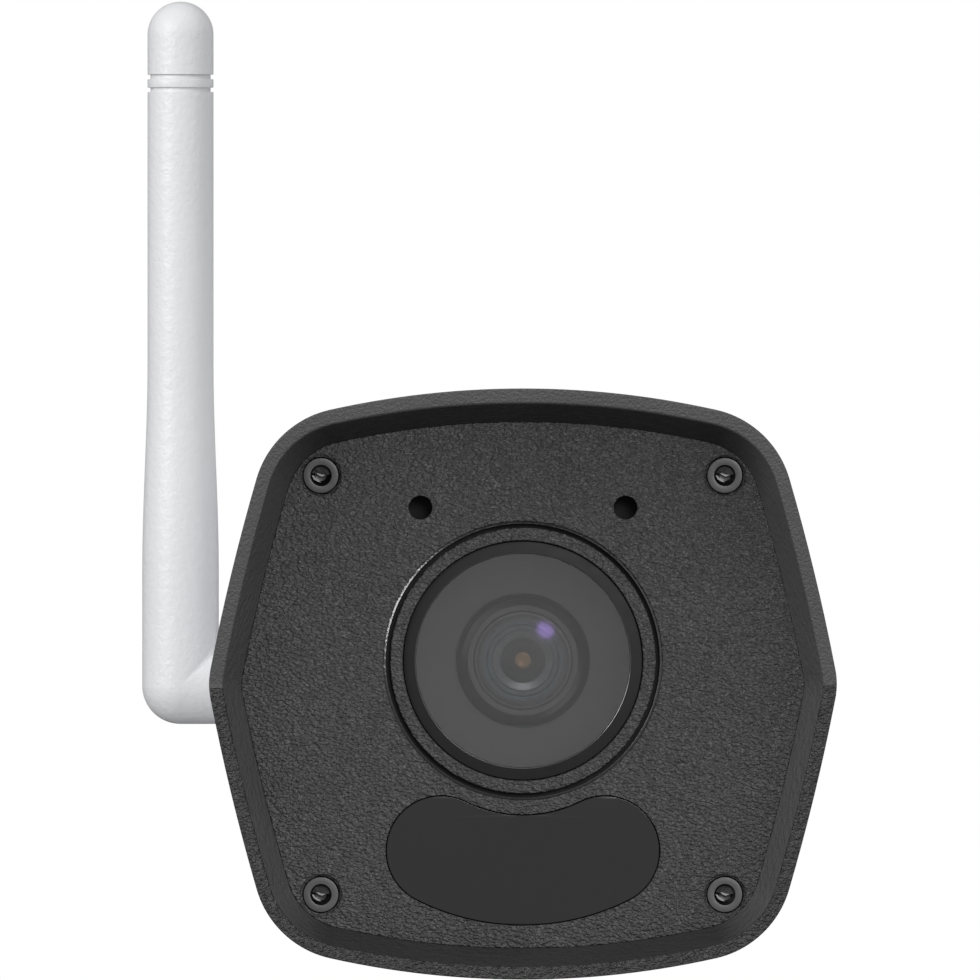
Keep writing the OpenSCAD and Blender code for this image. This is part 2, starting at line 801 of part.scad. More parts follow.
module filter_slider() {
    color("#c9b458") face_on() translate([0, lens_y, 0]) difference() {
        block([slider_start_x - slider_half.x, slider_start_x + slider_half.x],
            [-slider_half.y, slider_half.y], [slot_s[0] + face_gap, slot_s[1] - face_gap]);
        for (x = filter_spots)
            block([x - filter_half, x + filter_half], [-filter_half, filter_half], slot_s);
    }
}

module filter_pane(x) {
    face_on() translate([0, lens_y, 0])
        block([x - filter_half, x + filter_half], [-filter_half, filter_half],
            [slot_s[0] + filter_sink, slot_s[1] - filter_sink]);
}

module ir_cut_filter() {
    color([0.5, 0.8, 0.85, 0.5]) filter_pane(filter_spots[0]);
}

module clear_filter() {
    color([0.9, 0.9, 0.9, 0.4]) filter_pane(filter_spots[1]);
}

module image_sensor() {
    color("#2a3038") face_on() translate([0, lens_y, 0])
        block([-sensor_half.x, sensor_half.x], [-sensor_half.y, sensor_half.y],
            [sensor_front_s, sensor_front_s + sensor_t]);
}

sensor_board_half = [19, 15];
small_head_r = 1.9;
small_head_t = 1.4;
small_shank_r = 0.85;
small_socket_r = 0.8;
small_hole_r = 1.1;
sensor_screw_len = 8;
ir_board_half = 22;
ir_board_y = [-30, -15.5];
emitter_half = 2.5;
emitter_t = 1.2;
dome_r = 2.2;
microphone_r = 2.6;
microphone_t = 2.4;
light_sensor_r = 2;
light_sensor_t = 1.6;

module sensor_board() {
    color(board_green) face_on() difference() {
        translate([0, lens_y, 0])
            block([-sensor_board_half.x, sensor_board_half.x], [-sensor_board_half.y, sensor_board_half.y],
                [sensor_board_s, sensor_front_s]);
        post_spots() rod_forward(small_hole_r, sensor_board_s - eps, sensor_front_s + eps);
    }
}

module sensor_screws() {
    color(steel) face_on() post_spots() translate([0, 0, sensor_board_s - small_head_t])
        mirror([0, 0, 1]) screw(small_head_r, small_head_t, small_shank_r, sensor_screw_len, small_socket_r);
}

module ir_window() {
    color("#262626") face_on() kidney_slab(seat_gap, kidney_seat_s + kidney_gasket_t, plate_s - face_gap);
}

module ir_window_gasket() {
    color(black_rubber) face_on() difference() {
        kidney_slab(seat_gap, kidney_seat_s, kidney_seat_s + kidney_gasket_t);
        kidney_slab(kidney_ledge, plate_back_s, plate_s);
    }
}

module ir_board() {
    color(board_green) face_on() block([-ir_board_half, ir_board_half], ir_board_y, [ir_board_s, ir_front_s]);
}

module ir_emitters() {
    color([0.8, 0.8, 0.7, 0.8]) face_on() both_sides(lobe_x, lobe_y)
        translate([0, 0, ir_front_s]) {
            block([-emitter_half, emitter_half], [-emitter_half, emitter_half], [0, emitter_t]);
            cylinder(r = dome_r, h = dome_r);
            translate([0, 0, dome_r]) sphere(r = dome_r);
        }
}

module microphone() {
    color(steel) face_on()
        rod_forward(microphone_r, plate_back_s - microphone_t, plate_back_s, [-hole_x, hole_y]);
}

module light_sensor() {
    color("#101418") face_on()
        rod_forward(light_sensor_r, plate_back_s - light_sensor_t, plate_back_s, [hole_x, hole_y]);
}

/* Electronics */

chip_half = 9;
chip_top = board_top + 1.2;
chip_s = [101, 119];
// Across, height and stations of the power block and of the ribbon's socket
power_block = [[8, 18], [board_top, board_top + 4], [126, 138]];
ribbon_socket = [[-6, 6], [board_top, board_top + 2], [133.4, 137]];

module main_board() {
    color(board_green) face_on() difference() {
        union() {
            block([-board_half, board_half], [board_bottom, board_top], board_s);
            block([-chip_half, chip_half], [board_top, chip_top], chip_s);
            block(power_block[0], power_block[1], power_block[2]);
            block(ribbon_socket[0], ribbon_socket[1], ribbon_socket[2]);
        }
        board_spots() translate([0, 0, board_bottom - eps]) cylinder(r = small_hole_r, h = board_t + 1);
    }
}

board_screw_len = 7;

module board_screws() {
    color(steel) face_on() board_spots() translate([0, 0, board_top + small_head_t])
        screw(small_head_r, small_head_t, small_shank_r, board_screw_len, small_socket_r);
}

sink_base_t = 1.6;
sink_fins = 6;
sink_pitch = 3.2;
fin_t = 1;
fin_top = chip_top + 8;

module heat_sink() {
    color("#b8babc") face_on() union() {
        block([-chip_half, chip_half], [chip_top, chip_top + sink_base_t], chip_s);
        for (i = [0 : sink_fins - 1])
            translate([i * sink_pitch - chip_half, 0, 0])
                block([0, fin_t], [chip_top + sink_base_t - eps, fin_top], chip_s);
    }
}

radio_t = 2.2;

module radio_module() {
    color(steel) face_on() block([-19, -9], [board_top, board_top + radio_t], [124, 137]);
}

card_x = [-8, 4];
card_s = [110, 121];
card_reach = 3;
socket_t = 1.6;
socket_rim = 1.2;
socket_wall = 0.3;
card_sink = 0.4;
socket_y = [board_bottom - socket_t, board_bottom];

module card_socket() {
    color(steel) face_on() difference() {
        block([card_x[0] - socket_rim, card_x[1] - card_reach], socket_y,
            [card_s[0] - socket_rim, card_s[1] + socket_rim]);
        block(card_x, [socket_y[0] + socket_wall, socket_y[1] - socket_wall],
            [card_s[0] - seat_gap, card_s[1] + seat_gap]);
    }
}

module memory_card() {
    color("#202020") face_on()
        block([card_x[0] + seat_gap, card_x[1]], [socket_y[0] + card_sink, socket_y[1] - card_sink], card_s);
}

reset_x = 9;
reset_s = 116;
reset_half = 2.2;
reset_y = board_bottom - 2.4;
reset_r = 1.2;
reset_floor_y = board_bottom - 0.8;
reset_proud = 1;

module reset_switch() {
    color("#b0b0b0") face_on() difference() {
        block([reset_x - reset_half, reset_x + reset_half], [reset_y, board_bottom],
            [reset_s - reset_half, reset_s + reset_half]);
        rod_up(reset_r + fit_gap, reset_y - eps, reset_floor_y, [reset_x, reset_s]);
    }
}

module reset_button() {
    color("#202020") face_on()
        rod_up(reset_r, reset_y - reset_proud, reset_floor_y - 0.4, [reset_x, reset_s]);
}

ribbon_t = 0.3;
ribbon_half = 5;
ribbon_top = lens_y - 8;

module sensor_ribbon() {
    color("#c8742c") face_on()
        block([-ribbon_half, ribbon_half], [board_top, ribbon_top],
            [sensor_board_s - ribbon_t, sensor_board_s]);
}

/* Service cover and gland */

cover_top = hatch_floor_y - 0.6;
cover_hole_r = 1.4;
cover_seat_r = 2.4;
cover_seat_y = cover_top - 0.7;
cover_gasket_w = 1.5;
cover_gasket_in = 0.5;

module service_cover() {
    color(plain_white) face_on() difference() {
        intersection() {
            slab(body_inset, hatch_s[0] + seat_gap, hatch_s[1] - seat_gap);
            block([-hatch_half + seat_gap, hatch_half - seat_gap], [-half_h, cover_top], hatch_s);
        }
        hatch_screw_spots() translate([0, 0, -half_h]) cylinder(r = cover_hole_r, h = half_h);
        hatch_screw_spots() translate([0, 0, -half_h]) cylinder(r = cover_seat_r, h = half_h + cover_seat_y);
    }
}

// Block round the hatch's opening, wider than it by a margin
module hatch_block(margin, y) {
    block([-hatch_open_x - margin, hatch_open_x + margin], y,
        [hatch_open_s[0] - margin, hatch_open_s[1] + margin]);
}

module service_gasket() {
    color(black_rubber) face_on() difference() {
        hatch_block(cover_gasket_w, [cover_top, hatch_floor_y]);
        hatch_block(cover_gasket_in, [cover_top - 1, hatch_floor_y + 1]);
    }
}

cover_screw_t = 1.1;
cover_screw_len = 5.5;

module service_screws() {
    color(steel) face_on() hatch_screw_spots() translate([0, 0, cover_seat_y - cover_screw_t])
        mirror([0, 0, 1]) screw(small_head_r, cover_screw_t, pilot_r - eps, cover_screw_len, small_socket_r);
}

gland_bore_r = cable_r + 0.5;
gland_seal_s = [gland_nut_s - 1.5, cap_s + 5];

module gland_nut() {
    color("#2c2c2c") face_on() difference() {
        union() {
            rod_forward(gland_nut_r, gland_nut_s, gland_seat_s - eps, [0, gland_y], $fn = hex);
            rod_forward(gland_thread_r, gland_nut_s + 2, gland_end_s - 1, [0, gland_y]);
        }
        rod_forward(gland_bore_r, gland_nut_s - eps, gland_end_s, [0, gland_y]);
    }
}

module gland_seal() {
    color(black_rubber) face_on()
        ring_forward(gland_bore_r - fit_gap, cable_r, gland_seal_s[0], gland_seal_s[1], [0, gland_y]);
}

/* Antenna */

taper_y = [17.5, 39.3];
groove_y = [77.9, 79.65];
rod_groove_w = 0.6;
rod_groove_t = 0.4;
cap_y = groove_y[1] + rod_groove_w;
rod_at = [-rod_x, swivel_s];
tube_bore_r = 2.4;
tube_bore_y = swivel_y + 6;
stub_end_x = swivel_face_x + face_gap;
shaft_len_in = 2.7;

module antenna_tube() {
    bore_x = [-stub_end_x - shaft_len_in, -stub_end_x + eps];
    color(plain_white) face_on() difference() {
        union() {
            rod_up(foot_r, swivel_y, taper_y[0], rod_at);
            translate([-rod_x, taper_y[0], swivel_s]) rotate([-90, 0, 0])
                cylinder(r1 = foot_r, r2 = rod_r, h = taper_y[1] - taper_y[0]);
            rod_up(rod_r, taper_y[1], cap_y, rod_at);
            translate([-rod_x, swivel_y, swivel_s]) sphere(r = foot_r);
            rod_across(foot_r, -rod_x, -stub_end_x, swivel_at);
        }
        for (y = groove_y)
            difference() {
                rod_up(foot_r + 1, y, y + rod_groove_w + (y == groove_y[1] ? eps : 0), rod_at);
                rod_up(rod_r - rod_groove_t, y - eps, y + rod_groove_w + eps, rod_at);
            }
        rod_up(tube_bore_r, tube_bore_y, cap_y + eps, rod_at);
        rod_across(swivel_r + press_gap, bore_x[0], bore_x[1], swivel_at);
    }
}

plug_len = 1.5;
plug_bore_r = 1.4;

module antenna_cap() {
    tip_c = rod_len + swivel_y - rod_r;
    color(plain_white) face_on() difference() {
        union() {
            rod_up(rod_r, cap_y, tip_c, rod_at);
            translate([-rod_x, tip_c, swivel_s]) sphere(r = rod_r);
            rod_up(tube_bore_r - fit_gap, cap_y - plug_len, cap_y + eps, rod_at);
        }
        rod_up(plug_bore_r, cap_y - plug_len - eps, cap_y + 2, rod_at);
    }
}

wire_r = 1;
sleeve_r = 2.2;
sleeve_y = [tube_bore_y + 1, 22];

module antenna_element() {
    color("#c9a34a") face_on() union() {
        rod_up(wire_r, sleeve_y[0], cap_y + 1, rod_at);
        rod_up(sleeve_r, sleeve_y[0], sleeve_y[1], rod_at);
    }
}

shaft_end_x = -swivel_face_x + 10.5;
shaft_bore_r = 1.2;
shaft_groove_r = swivel_r - 0.5;
shaft_groove_x = [-swivel_face_x + 6.2, -swivel_face_x + 7.2];

module antenna_shaft() {
    start_x = -stub_end_x - shaft_len_in + fit_gap;
    color(steel) face_on() difference() {
        rod_across(swivel_r, start_x, shaft_end_x, swivel_at);
        rod_across(shaft_bore_r, start_x - eps, shaft_end_x + eps, swivel_at);
        difference() {
            rod_across(swivel_r + 1, shaft_groove_x[0], shaft_groove_x[1], swivel_at);
            rod_across(shaft_groove_r, shaft_groove_x[0] - eps, shaft_groove_x[1] + eps, swivel_at);
        }
    }
}

shaft_clip_r = swivel_r + 1.4;
clip_opening = 3;

module antenna_clip() {
    x = [shaft_groove_x[0] + clip_gap, shaft_groove_x[1] - clip_gap];
    color(steel) face_on() difference() {
        rod_across(shaft_clip_r, x[0], x[1], swivel_at);
        rod_across(shaft_groove_r + fit_gap, x[0] - eps, x[1] + eps, swivel_at);
        block([x[0] - eps, x[1] + eps], [swivel_y - clip_opening / 2, swivel_y + clip_opening / 2],
            [swivel_s, swivel_s + shaft_clip_r]);
    }
}

module antenna_oring() {
    color(black_rubber) face_on() difference() {
        rod_across(oring_r - fit_gap, oring_x[0] + clip_gap, oring_x[1] - clip_gap, swivel_at);
        rod_across(swivel_r + fit_gap, oring_x[0], oring_x[1], swivel_at);
    }
}

lead_r = 0.7;
lead_x = -24;
lead_y = -20;
lead_s = 131;
lead_end_x = -14;

module antenna_lead() {
    bends = [
        [lead_x, swivel_y, swivel_s],
        [lead_x, lead_y, swivel_s],
        [lead_x, lead_y, lead_s],
        [lead_end_x, lead_y, lead_s]
    ];
    color(black_rubber) face_on() union() {
        rod_across(lead_r, shaft_end_x + face_gap, lead_x, swivel_at);
        rod_up(lead_r, lead_y, swivel_y, [lead_x, swivel_s]);
        rod_forward(lead_r, swivel_s, lead_s, [lead_x, lead_y]);
        rod_across(lead_r, lead_x, lead_end_x, [lead_y, lead_s]);
        rod_up(lead_r, board_top + radio_t, lead_y, [lead_end_x, lead_s]);
        for (p = bends)
            translate(p) sphere(r = lead_r);
    }
}

wall_base();
pan_arm();
pan_retainer();
pan_bolt();
tilt_bolt();
tilt_nut();
tilt_link();
roll_circlip();
roll_lock_screw();
rear_cap();
rear_gasket();
rear_screws();
body_shell();
front_gasket();
front_hood();
face_plate();
face_screws();
window_glass();
window_gasket();
lens_baffle();
lens_barrel();
lens_retaining_ring();
front_element();
inner_elements();
aperture_stop();
lens_holder();
filter_slider();
ir_cut_filter();
clear_filter();
image_sensor();
sensor_board();
sensor_screws();
ir_window();
ir_window_gasket();
ir_board();
ir_emitters();
microphone();
light_sensor();
main_board();
board_screws();
heat_sink();
radio_module();
card_socket();
memory_card();
reset_switch();
reset_button();
sensor_ribbon();
service_cover();
service_gasket();
service_screws();
gland_nut();
gland_seal();
antenna_tube();
antenna_cap();
antenna_element();
antenna_shaft();
antenna_clip();
antenna_oring();
antenna_lead();
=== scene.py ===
import json
import math

import bmesh
import bpy
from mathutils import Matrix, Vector


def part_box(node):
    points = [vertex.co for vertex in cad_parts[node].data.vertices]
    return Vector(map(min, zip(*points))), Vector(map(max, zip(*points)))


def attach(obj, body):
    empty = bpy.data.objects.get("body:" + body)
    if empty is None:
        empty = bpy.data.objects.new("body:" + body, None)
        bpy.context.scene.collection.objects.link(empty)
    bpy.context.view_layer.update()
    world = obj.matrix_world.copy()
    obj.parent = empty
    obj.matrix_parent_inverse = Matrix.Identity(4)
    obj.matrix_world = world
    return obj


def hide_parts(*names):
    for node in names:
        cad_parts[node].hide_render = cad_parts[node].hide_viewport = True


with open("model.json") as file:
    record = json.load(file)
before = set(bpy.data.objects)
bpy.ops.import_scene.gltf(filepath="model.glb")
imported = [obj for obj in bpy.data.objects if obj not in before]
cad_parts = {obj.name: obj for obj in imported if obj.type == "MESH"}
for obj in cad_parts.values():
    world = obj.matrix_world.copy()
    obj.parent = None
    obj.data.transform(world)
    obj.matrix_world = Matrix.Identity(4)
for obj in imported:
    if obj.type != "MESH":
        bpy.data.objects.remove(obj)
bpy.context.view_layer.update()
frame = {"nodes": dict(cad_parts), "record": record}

# Shapes are drawn face on, in millimetres: x right, y up, s forward from the wall.
MM = 0.001
SEGMENTS = 96

nodes = frame["nodes"]
record = frame["record"]
NODE_SLOT = {part["node"]: part["material_slot"] for part in record["subparts"]}
NODE_BODY = {node: body for body, members in record["behaviour"]["bodies"].items() for node in members}


def to_frame(p):
    """A drawn point in millimetres as a point of the frame in metres."""
    return Vector((p[0], -p[2], p[1])) * MM


def stations(node):
    """(rear, front) of a CAD node along the camera, in millimetres from the wall."""
    low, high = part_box(node)
    return -high.y / MM, -low.y / MM


def middle(node):
    """Centre of a CAD node as (x, y, s) in millimetres."""
    c = sum(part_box(node), Vector()) / 2 / MM
    return c.x, c.z, -c.y


def half_size(node):
    """Half of a CAD node's size as (x, y, s) in millimetres."""
    low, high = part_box(node)
    h = (high - low) / 2 / MM
    return h.x, h.z, h.y


# ---------------------------------------------------------------- shader helpers

NOISE_ROUGHNESS = 0.55
SLANT_TURN = (0, math.radians(-25), 0)
SLANT_SCALE = (0.78, 1, 1.15)
MOTTLE_DETAIL, FINE_DETAIL = 4.0, 2.0
FINE_RATIO = 9
LEAST_ROUGHNESS = 0.02
TINT_SCALE, TINT_FADE = 90, 0.97
UPRIGHT_SHADE_START, UPRIGHT_SHADE_END = 0.3, 0.85


def add_node(tree, kind, **values):
    """A shader node with some input values, keyed by socket name with _ for a space."""
    made = tree.nodes.new(kind)
    for key, value in values.items():
        made.inputs[key.replace("_", " ")].default_value = value
    return made


def noise(tree, scale, detail=3.0, distortion=0.0, slant=False):
    """Noise over the object's own coordinates, scale in lumps a metre; slant draws them out sideways."""
    source = tree.nodes.new("ShaderNodeTexCoord").outputs["Object"]
    if slant:
        mapping = add_node(tree, "ShaderNodeMapping", Rotation=SLANT_TURN, Scale=SLANT_SCALE)
        tree.links.new(source, mapping.inputs["Vector"])
        source = mapping.outputs["Vector"]
    made = add_node(tree, "ShaderNodeTexNoise", Scale=scale, Detail=detail, Distortion=distortion)
    made.inputs["Roughness"].default_value = NOISE_ROUGHNESS
    tree.links.new(source, made.inputs["Vector"])
    return made.outputs["Fac"]


def spread(tree, value, low, high, start=0.25, end=0.75):
    """Maps a value from start to end onto low to high."""
    made = add_node(tree, "ShaderNodeMapRange", From_Min=start, From_Max=end, To_Min=low, To_Max=high)
    tree.links.new(value, made.inputs["Value"])
    return made.outputs["Result"]


def shaded(tree, value, dark, light):
    """A colour between dark and light."""
    made = tree.nodes.new("ShaderNodeMix")
    made.data_type = "RGBA"
    made.inputs["A"].default_value = (*dark, 1)
    made.inputs["B"].default_value = (*light, 1)
    tree.links.new(value, made.inputs["Factor"])
    return made.outputs["Result"]


def bumped(tree, layers):
    """A normal from noise layers, each (lumps a metre, height in mm, detail, distortion, slant)."""
    normal = None
    for scale, height, detail, distortion, *slant in layers:
        bump = add_node(tree, "ShaderNodeBump", Distance=height * MM)
        tree.links.new(noise(tree, scale, detail, distortion, *slant), bump.inputs["Height"])
        if normal:
            tree.links.new(normal, bump.inputs["Normal"])
        normal = bump.outputs["Normal"]
    return normal


def blank(name, sockets):
    """A new Principled material as (material, tree, shader); sockets are keyed with _ for a space."""
    made = bpy.data.materials.new(name)
    made.use_nodes = True
    shader = made.node_tree.nodes["Principled BSDF"]
    for key, value in sockets.items():
        shader.inputs[key.replace("_", " ")].default_value = value
    return made, made.node_tree, shader


def surface(name, colour, roughness, layers=(), vary=0.12, mottle=60, rough_vary=0.06, **sockets):
    """A material whose colour and roughness wander a little, with bump from its layers."""
    made, tree, shader = blank(name, sockets)
    mottling = spread(tree, noise(tree, mottle, MOTTLE_DETAIL), 0, 1)
    dark = [c * (1 - vary) for c in colour]
    light = [c * (1 + vary) for c in colour]
    tree.links.new(shaded(tree, mottling, dark, light), shader.inputs["Base Color"])
    fine = noise(tree, mottle * FINE_RATIO, FINE_DETAIL)
    low, high = max(LEAST_ROUGHNESS, roughness - rough_vary), roughness + rough_vary
    tree.links.new(spread(tree, fine, low, high), shader.inputs["Roughness"])
    if layers:
        tree.links.new(bumped(tree, layers), shader.inputs["Normal"])
    return made


def glass(name, tint, **sockets):
    """Clear glass whose tint wanders a little, as a coating's does."""
    made, tree, shader = blank(name, {"Roughness": 0.0, "Transmission Weight": 1.0, **sockets})
    faded = [TINT_FADE * c for c in tint]
    wander = spread(tree, noise(tree, TINT_SCALE), 0, 1)
    tree.links.new(shaded(tree, wander, faded, tint), shader.inputs["Base Color"])
    return made


def paint_shade_upright(material, share):
    """Paints shade into a material: darkens it, to a share of its colour, where the piece's own surface
    faces up or down.
    """
    tree = material.node_tree
    shader = tree.nodes["Principled BSDF"]
    source = shader.inputs["Base Color"].links[0].from_socket
    split = tree.nodes.new("ShaderNodeSeparateXYZ")
    tree.links.new(tree.nodes.new("ShaderNodeTexCoord").outputs["Normal"], split.inputs[0])
    sideways = tree.nodes.new("ShaderNodeMath")
    sideways.operation = "ABSOLUTE"
    tree.links.new(split.outputs["X"], sideways.inputs[0])
    scale = tree.nodes.new("ShaderNodeVectorMath")
    scale.operation = "SCALE"
    tree.links.new(source, scale.inputs[0])
    unshaded_share = spread(tree, sideways.outputs[0], share, 1, UPRIGHT_SHADE_START, UPRIGHT_SHADE_END)
    tree.links.new(unshaded_share, scale.inputs["Scale"])
    tree.links.new(scale.outputs[0], shader.inputs["Base Color"])


def grey(value):
    return (value, value, value)


# ---------------------------------------------------------------- materials

COARSE_GRAIN = [(2550, 0.62, 1.0, 0.1, True), (700, 0.05, 2.0, 0.3)]
FINE_GRAIN = [(2900, 0.2, 2.0, 0.3)]
WALL_GRAIN = [(1000, 0.4, 2.0, 0.4), (2800, 0.06, 2.0, 0.3)]
BEAD_GRAIN = [(2300, 0.06, 1.5, 0.3)]
ROD_GRAIN = [(1100, 0.1, 3.0, 0.3), (3000, 0.02, 2, 0)]
COAT_GRAIN = [(1500, 0.09, 2.0, 0.2)]

plate_dark = surface("dark_coarse_grain", grey(0.044), 0.5, COARSE_GRAIN)
hood_dark = surface("dark_fine_grain", grey(0.044), 0.55, FINE_GRAIN)
# The lower rim keeps the plate's coarse grain; its darker tone is painted shade.
rim_shaded = surface("lower_rim_painted_shade", grey(0.014), 0.5, COARSE_GRAIN)
# Inner walls: lighter than the plate at the sides, as painted light; darker at roof and sill, below, as
# painted shade.
wall_lit_and_shaded = surface("inner_wall_painted_light_and_shade", grey(0.065), 0.45, WALL_GRAIN, Specular_IOR_Level=0.12)
paint_shade_upright(wall_lit_and_shaded, 0.4)
bead_dark = surface("dark_bead", grey(0.02), 0.24, BEAD_GRAIN, Specular_IOR_Level=0.9)
border_black = surface("border_black", grey(0.006), 0.45, vary=0.15, Specular_IOR_Level=0.17)
# Lighter than the border: a painted highlight on its polished inner edge.
border_painted_highlight = surface("border_painted_highlight", grey(0.035), 0.2, Specular_IOR_Level=0.8)
# Near black: painted shade on the groove's floor and walls round the lens ring; also the colour of the
# microphone and light sensor behind their holes.
groove_shade_and_hole_black = surface("groove_shade_and_hole_black", grey(0.003), 0.9, vary=0.2)
screw_black = surface("screw_black", grey(0.045), 0.36, [(3000, 0.012, 2, 0)])
# Near black in the screws' recess: painted shade.
socket_painted_shade = surface("socket_painted_shade", grey(0.003), 0.3, vary=0.1)
# Light grey on two edges in the recess: painted glints.
socket_painted_glint = surface("socket_painted_glint", grey(0.2), 0.4, vary=0.1, Metallic=0.5)
ir_black = surface("ir_black", grey(0.005), 0.17, vary=0.08, rough_vary=0.01)
rubber = surface("rubber", grey(0.012), 0.75, [(2500, 0.01, 2, 0)])

WHITE = (0.74, 0.745, 0.762)
white_rod = surface("white_rod", WHITE, 0.44, ROD_GRAIN, vary=0.012, Specular_IOR_Level=0.65)
white_coat = surface("white_coat", WHITE, 0.5, COAT_GRAIN, vary=0.012)

barrel_black = surface("barrel_black", grey(0.034), 0.42, [(3000, 0.006, 2, 0)])
clamp_black = surface("clamp_black", grey(0.016), 0.35, [(3000, 0.004, 2, 0)])
baffle_grey = surface("baffle_grey", grey(0.085), 0.85, vary=0.01, rough_vary=0.01)
cone_grey = surface("cone_grey", grey(0.06), 0.3, vary=0.03, rough_vary=0.01, Metallic=1.0)
inner_black = surface("inner_black", grey(0.004), 0.6, vary=0.1, Specular_IOR_Level=0.12)
inner_teal = surface("inner_teal", (0.04, 0.052, 0.058), 0.35, vary=0.08, Metallic=1.0)
inner_gold = surface("inner_gold", (0.16, 0.095, 0.045), 0.16, vary=0.08, rough_vary=0.02, Metallic=1.0)
window_clear = glass("window_clear", (1, 1, 1), IOR=1.55)
coated = glass(
    "coated_glass", (0.95, 0.98, 1.0), IOR=1.06,
    Specular_Tint=(0.8, 0.62, 1.0, 1), Coat_Weight=0.5, Coat_Roughness=0.12,
)

steel = surface("steel", grey(0.55), 0.32, [(4000, 0.003, 2, 0)], Metallic=1.0)
alloy = surface("alloy", grey(0.6), 0.4, [(3000, 0.004, 2, 0)], Metallic=1.0)
brass = surface("brass", (0.72, 0.5, 0.2), 0.3, Metallic=1.0)
board_green = surface("board_green", (0.02, 0.12, 0.06), 0.4, [(2500, 0.01, 2, 0)])
chip_black = surface("chip_black", grey(0.02), 0.5, [(3000, 0.004, 2, 0)])
film_orange = surface("film_orange", (0.5, 0.2, 0.04), 0.4)
resin = surface("resin", (0.75, 0.74, 0.6), 0.12)

NODE_LOOK = {"microphone": groove_shade_and_hole_black, "light_sensor": groove_shade_and_hole_black}
SLOT_LOOK = {
    "white_metal": white_coat, "white_plastic": white_rod, "dark_plastic": plate_dark,
    "black_plastic": chip_black, "dark_steel": screw_black, "steel": steel, "black_metal": barrel_black,
    "clear_glass": coated, "filter_glass": coated, "dark_window": ir_black, "sensor": chip_black,
    "circuit_board": board_green, "emitter": resin, "aluminium": alloy, "brass": brass,
    "ribbon": film_orange, "rubber": rubber,
}

# ---------------------------------------------------------------- mesh helpers

CORNER_SHARE = 0.45
SAME_PLACE = 1e-7


def soften(path, radius, closed=True, steps=3):
    """Rounds every corner of a path of vectors with a short curve."""
    path = [Vector(p) for p in path]
    out = []
    for i, p in enumerate(path):
        if not closed and i in (0, len(path) - 1):
            out.append(p)
            continue
        before, after = path[i - 1] - p, path[(i + 1) % len(path)] - p
        reach = min(radius, CORNER_SHARE * before.length, CORNER_SHARE * after.length)
        start, end = p + before.normalized() * reach, p + after.normalized() * reach
        for k in range(steps + 1):
            u = k / steps
            out.append((1 - u) ** 2 * start + 2 * u * (1 - u) * p + u * u * end)
    return out


def turns(count):
    """Angles all the way round."""
    return [2 * math.pi * i / count for i in range(count)]


def bridge(bm, rings, looped=False, look=None):
    """Faces between neighbouring rings of points in millimetres; returns the rings of vertices.

    look(k, point) gives the material index of a face between rings k and k + 1."""
    verts = [[bm.verts.new(to_frame(p)) for p in ring] for ring in rings]
    count = len(verts[0])
    for k in range(len(verts) if looped else len(verts) - 1):
        a, b = verts[k], verts[(k + 1) % len(verts)]
        for i in range(count):
            j = (i + 1) % count
            face = bm.faces.new((a[i], a[j], b[j], b[i]))
            if look:
                face.material_index = look(k, rings[k][i])
    return verts


def revolve(bm, profile, place, closed=True, segments=SEGMENTS, look=None):
    """Turns a profile of (radius, height) pairs about an axis; place maps (u, v, height) to (x, y, s)."""
    angles = turns(segments)
    rings = [[place(r * math.cos(a), r * math.sin(a), h) for a in angles] for r, h in profile]
    bridge(bm, rings, closed, look)


def forward(x, y):
    """Places a turned shape on an axis that points forward."""
    return lambda u, v, h: (x + u, y + v, h)


def upright(x, s):
    """Places a turned shape on an axis that points up."""
    return lambda u, v, h: (x + u, h, s + v)


def recolour(bm, index, test):
    """Gives a material index to each face whose centre (x, y, s) passes a test."""
    for face in bm.faces:
        spot = face.calc_center_median() / MM
        if test(spot.x, spot.z, -spot.y):
            face.material_index = index


def settle(bm, crease):
    """Closes seams, turns normals outward and keeps only edges sharper than crease as hard."""
    bmesh.ops.remove_doubles(bm, verts=bm.verts, dist=SAME_PLACE)
    bmesh.ops.recalc_face_normals(bm, faces=bm.faces)
    limit = math.radians(crease)
    for face in bm.faces:
        face.smooth = True
    for edge in bm.edges:
        edge.smooth = len(edge.link_faces) == 2 and edge.calc_face_angle(0) < limit


def add_piece(name, bm, materials, body, replaced, slot=None, crease=32):
    """A finished piece that rides on a body and stands for the replaced CAD nodes."""
    settle(bm, crease)
    mesh = bpy.data.meshes.new(name)
    bm.to_mesh(mesh)
    bm.free()
    made = bpy.data.objects.new(name, mesh)
    bpy.context.scene.collection.objects.link(made)
    for material in materials if isinstance(materials, list) else [materials]:
        mesh.materials.append(material)
    made.modifiers.new("even_shading", "WEIGHTED_NORMAL").keep_sharp = True
    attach(made, body)
    if replaced:
        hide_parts(*replaced)
    slot or NODE_SLOT[replaced[0]]
    return made


def lathe_piece(name, profile, place, material, node, radius=0.1, closed=True, segments=SEGMENTS):
    """A turned piece with softened corners, in place of a CAD node."""
    bm = bmesh.new()
    revolve(bm, soften(profile, radius, closed), place, closed, segments)
    return add_piece(name, bm, material, NODE_BODY[node], [node])


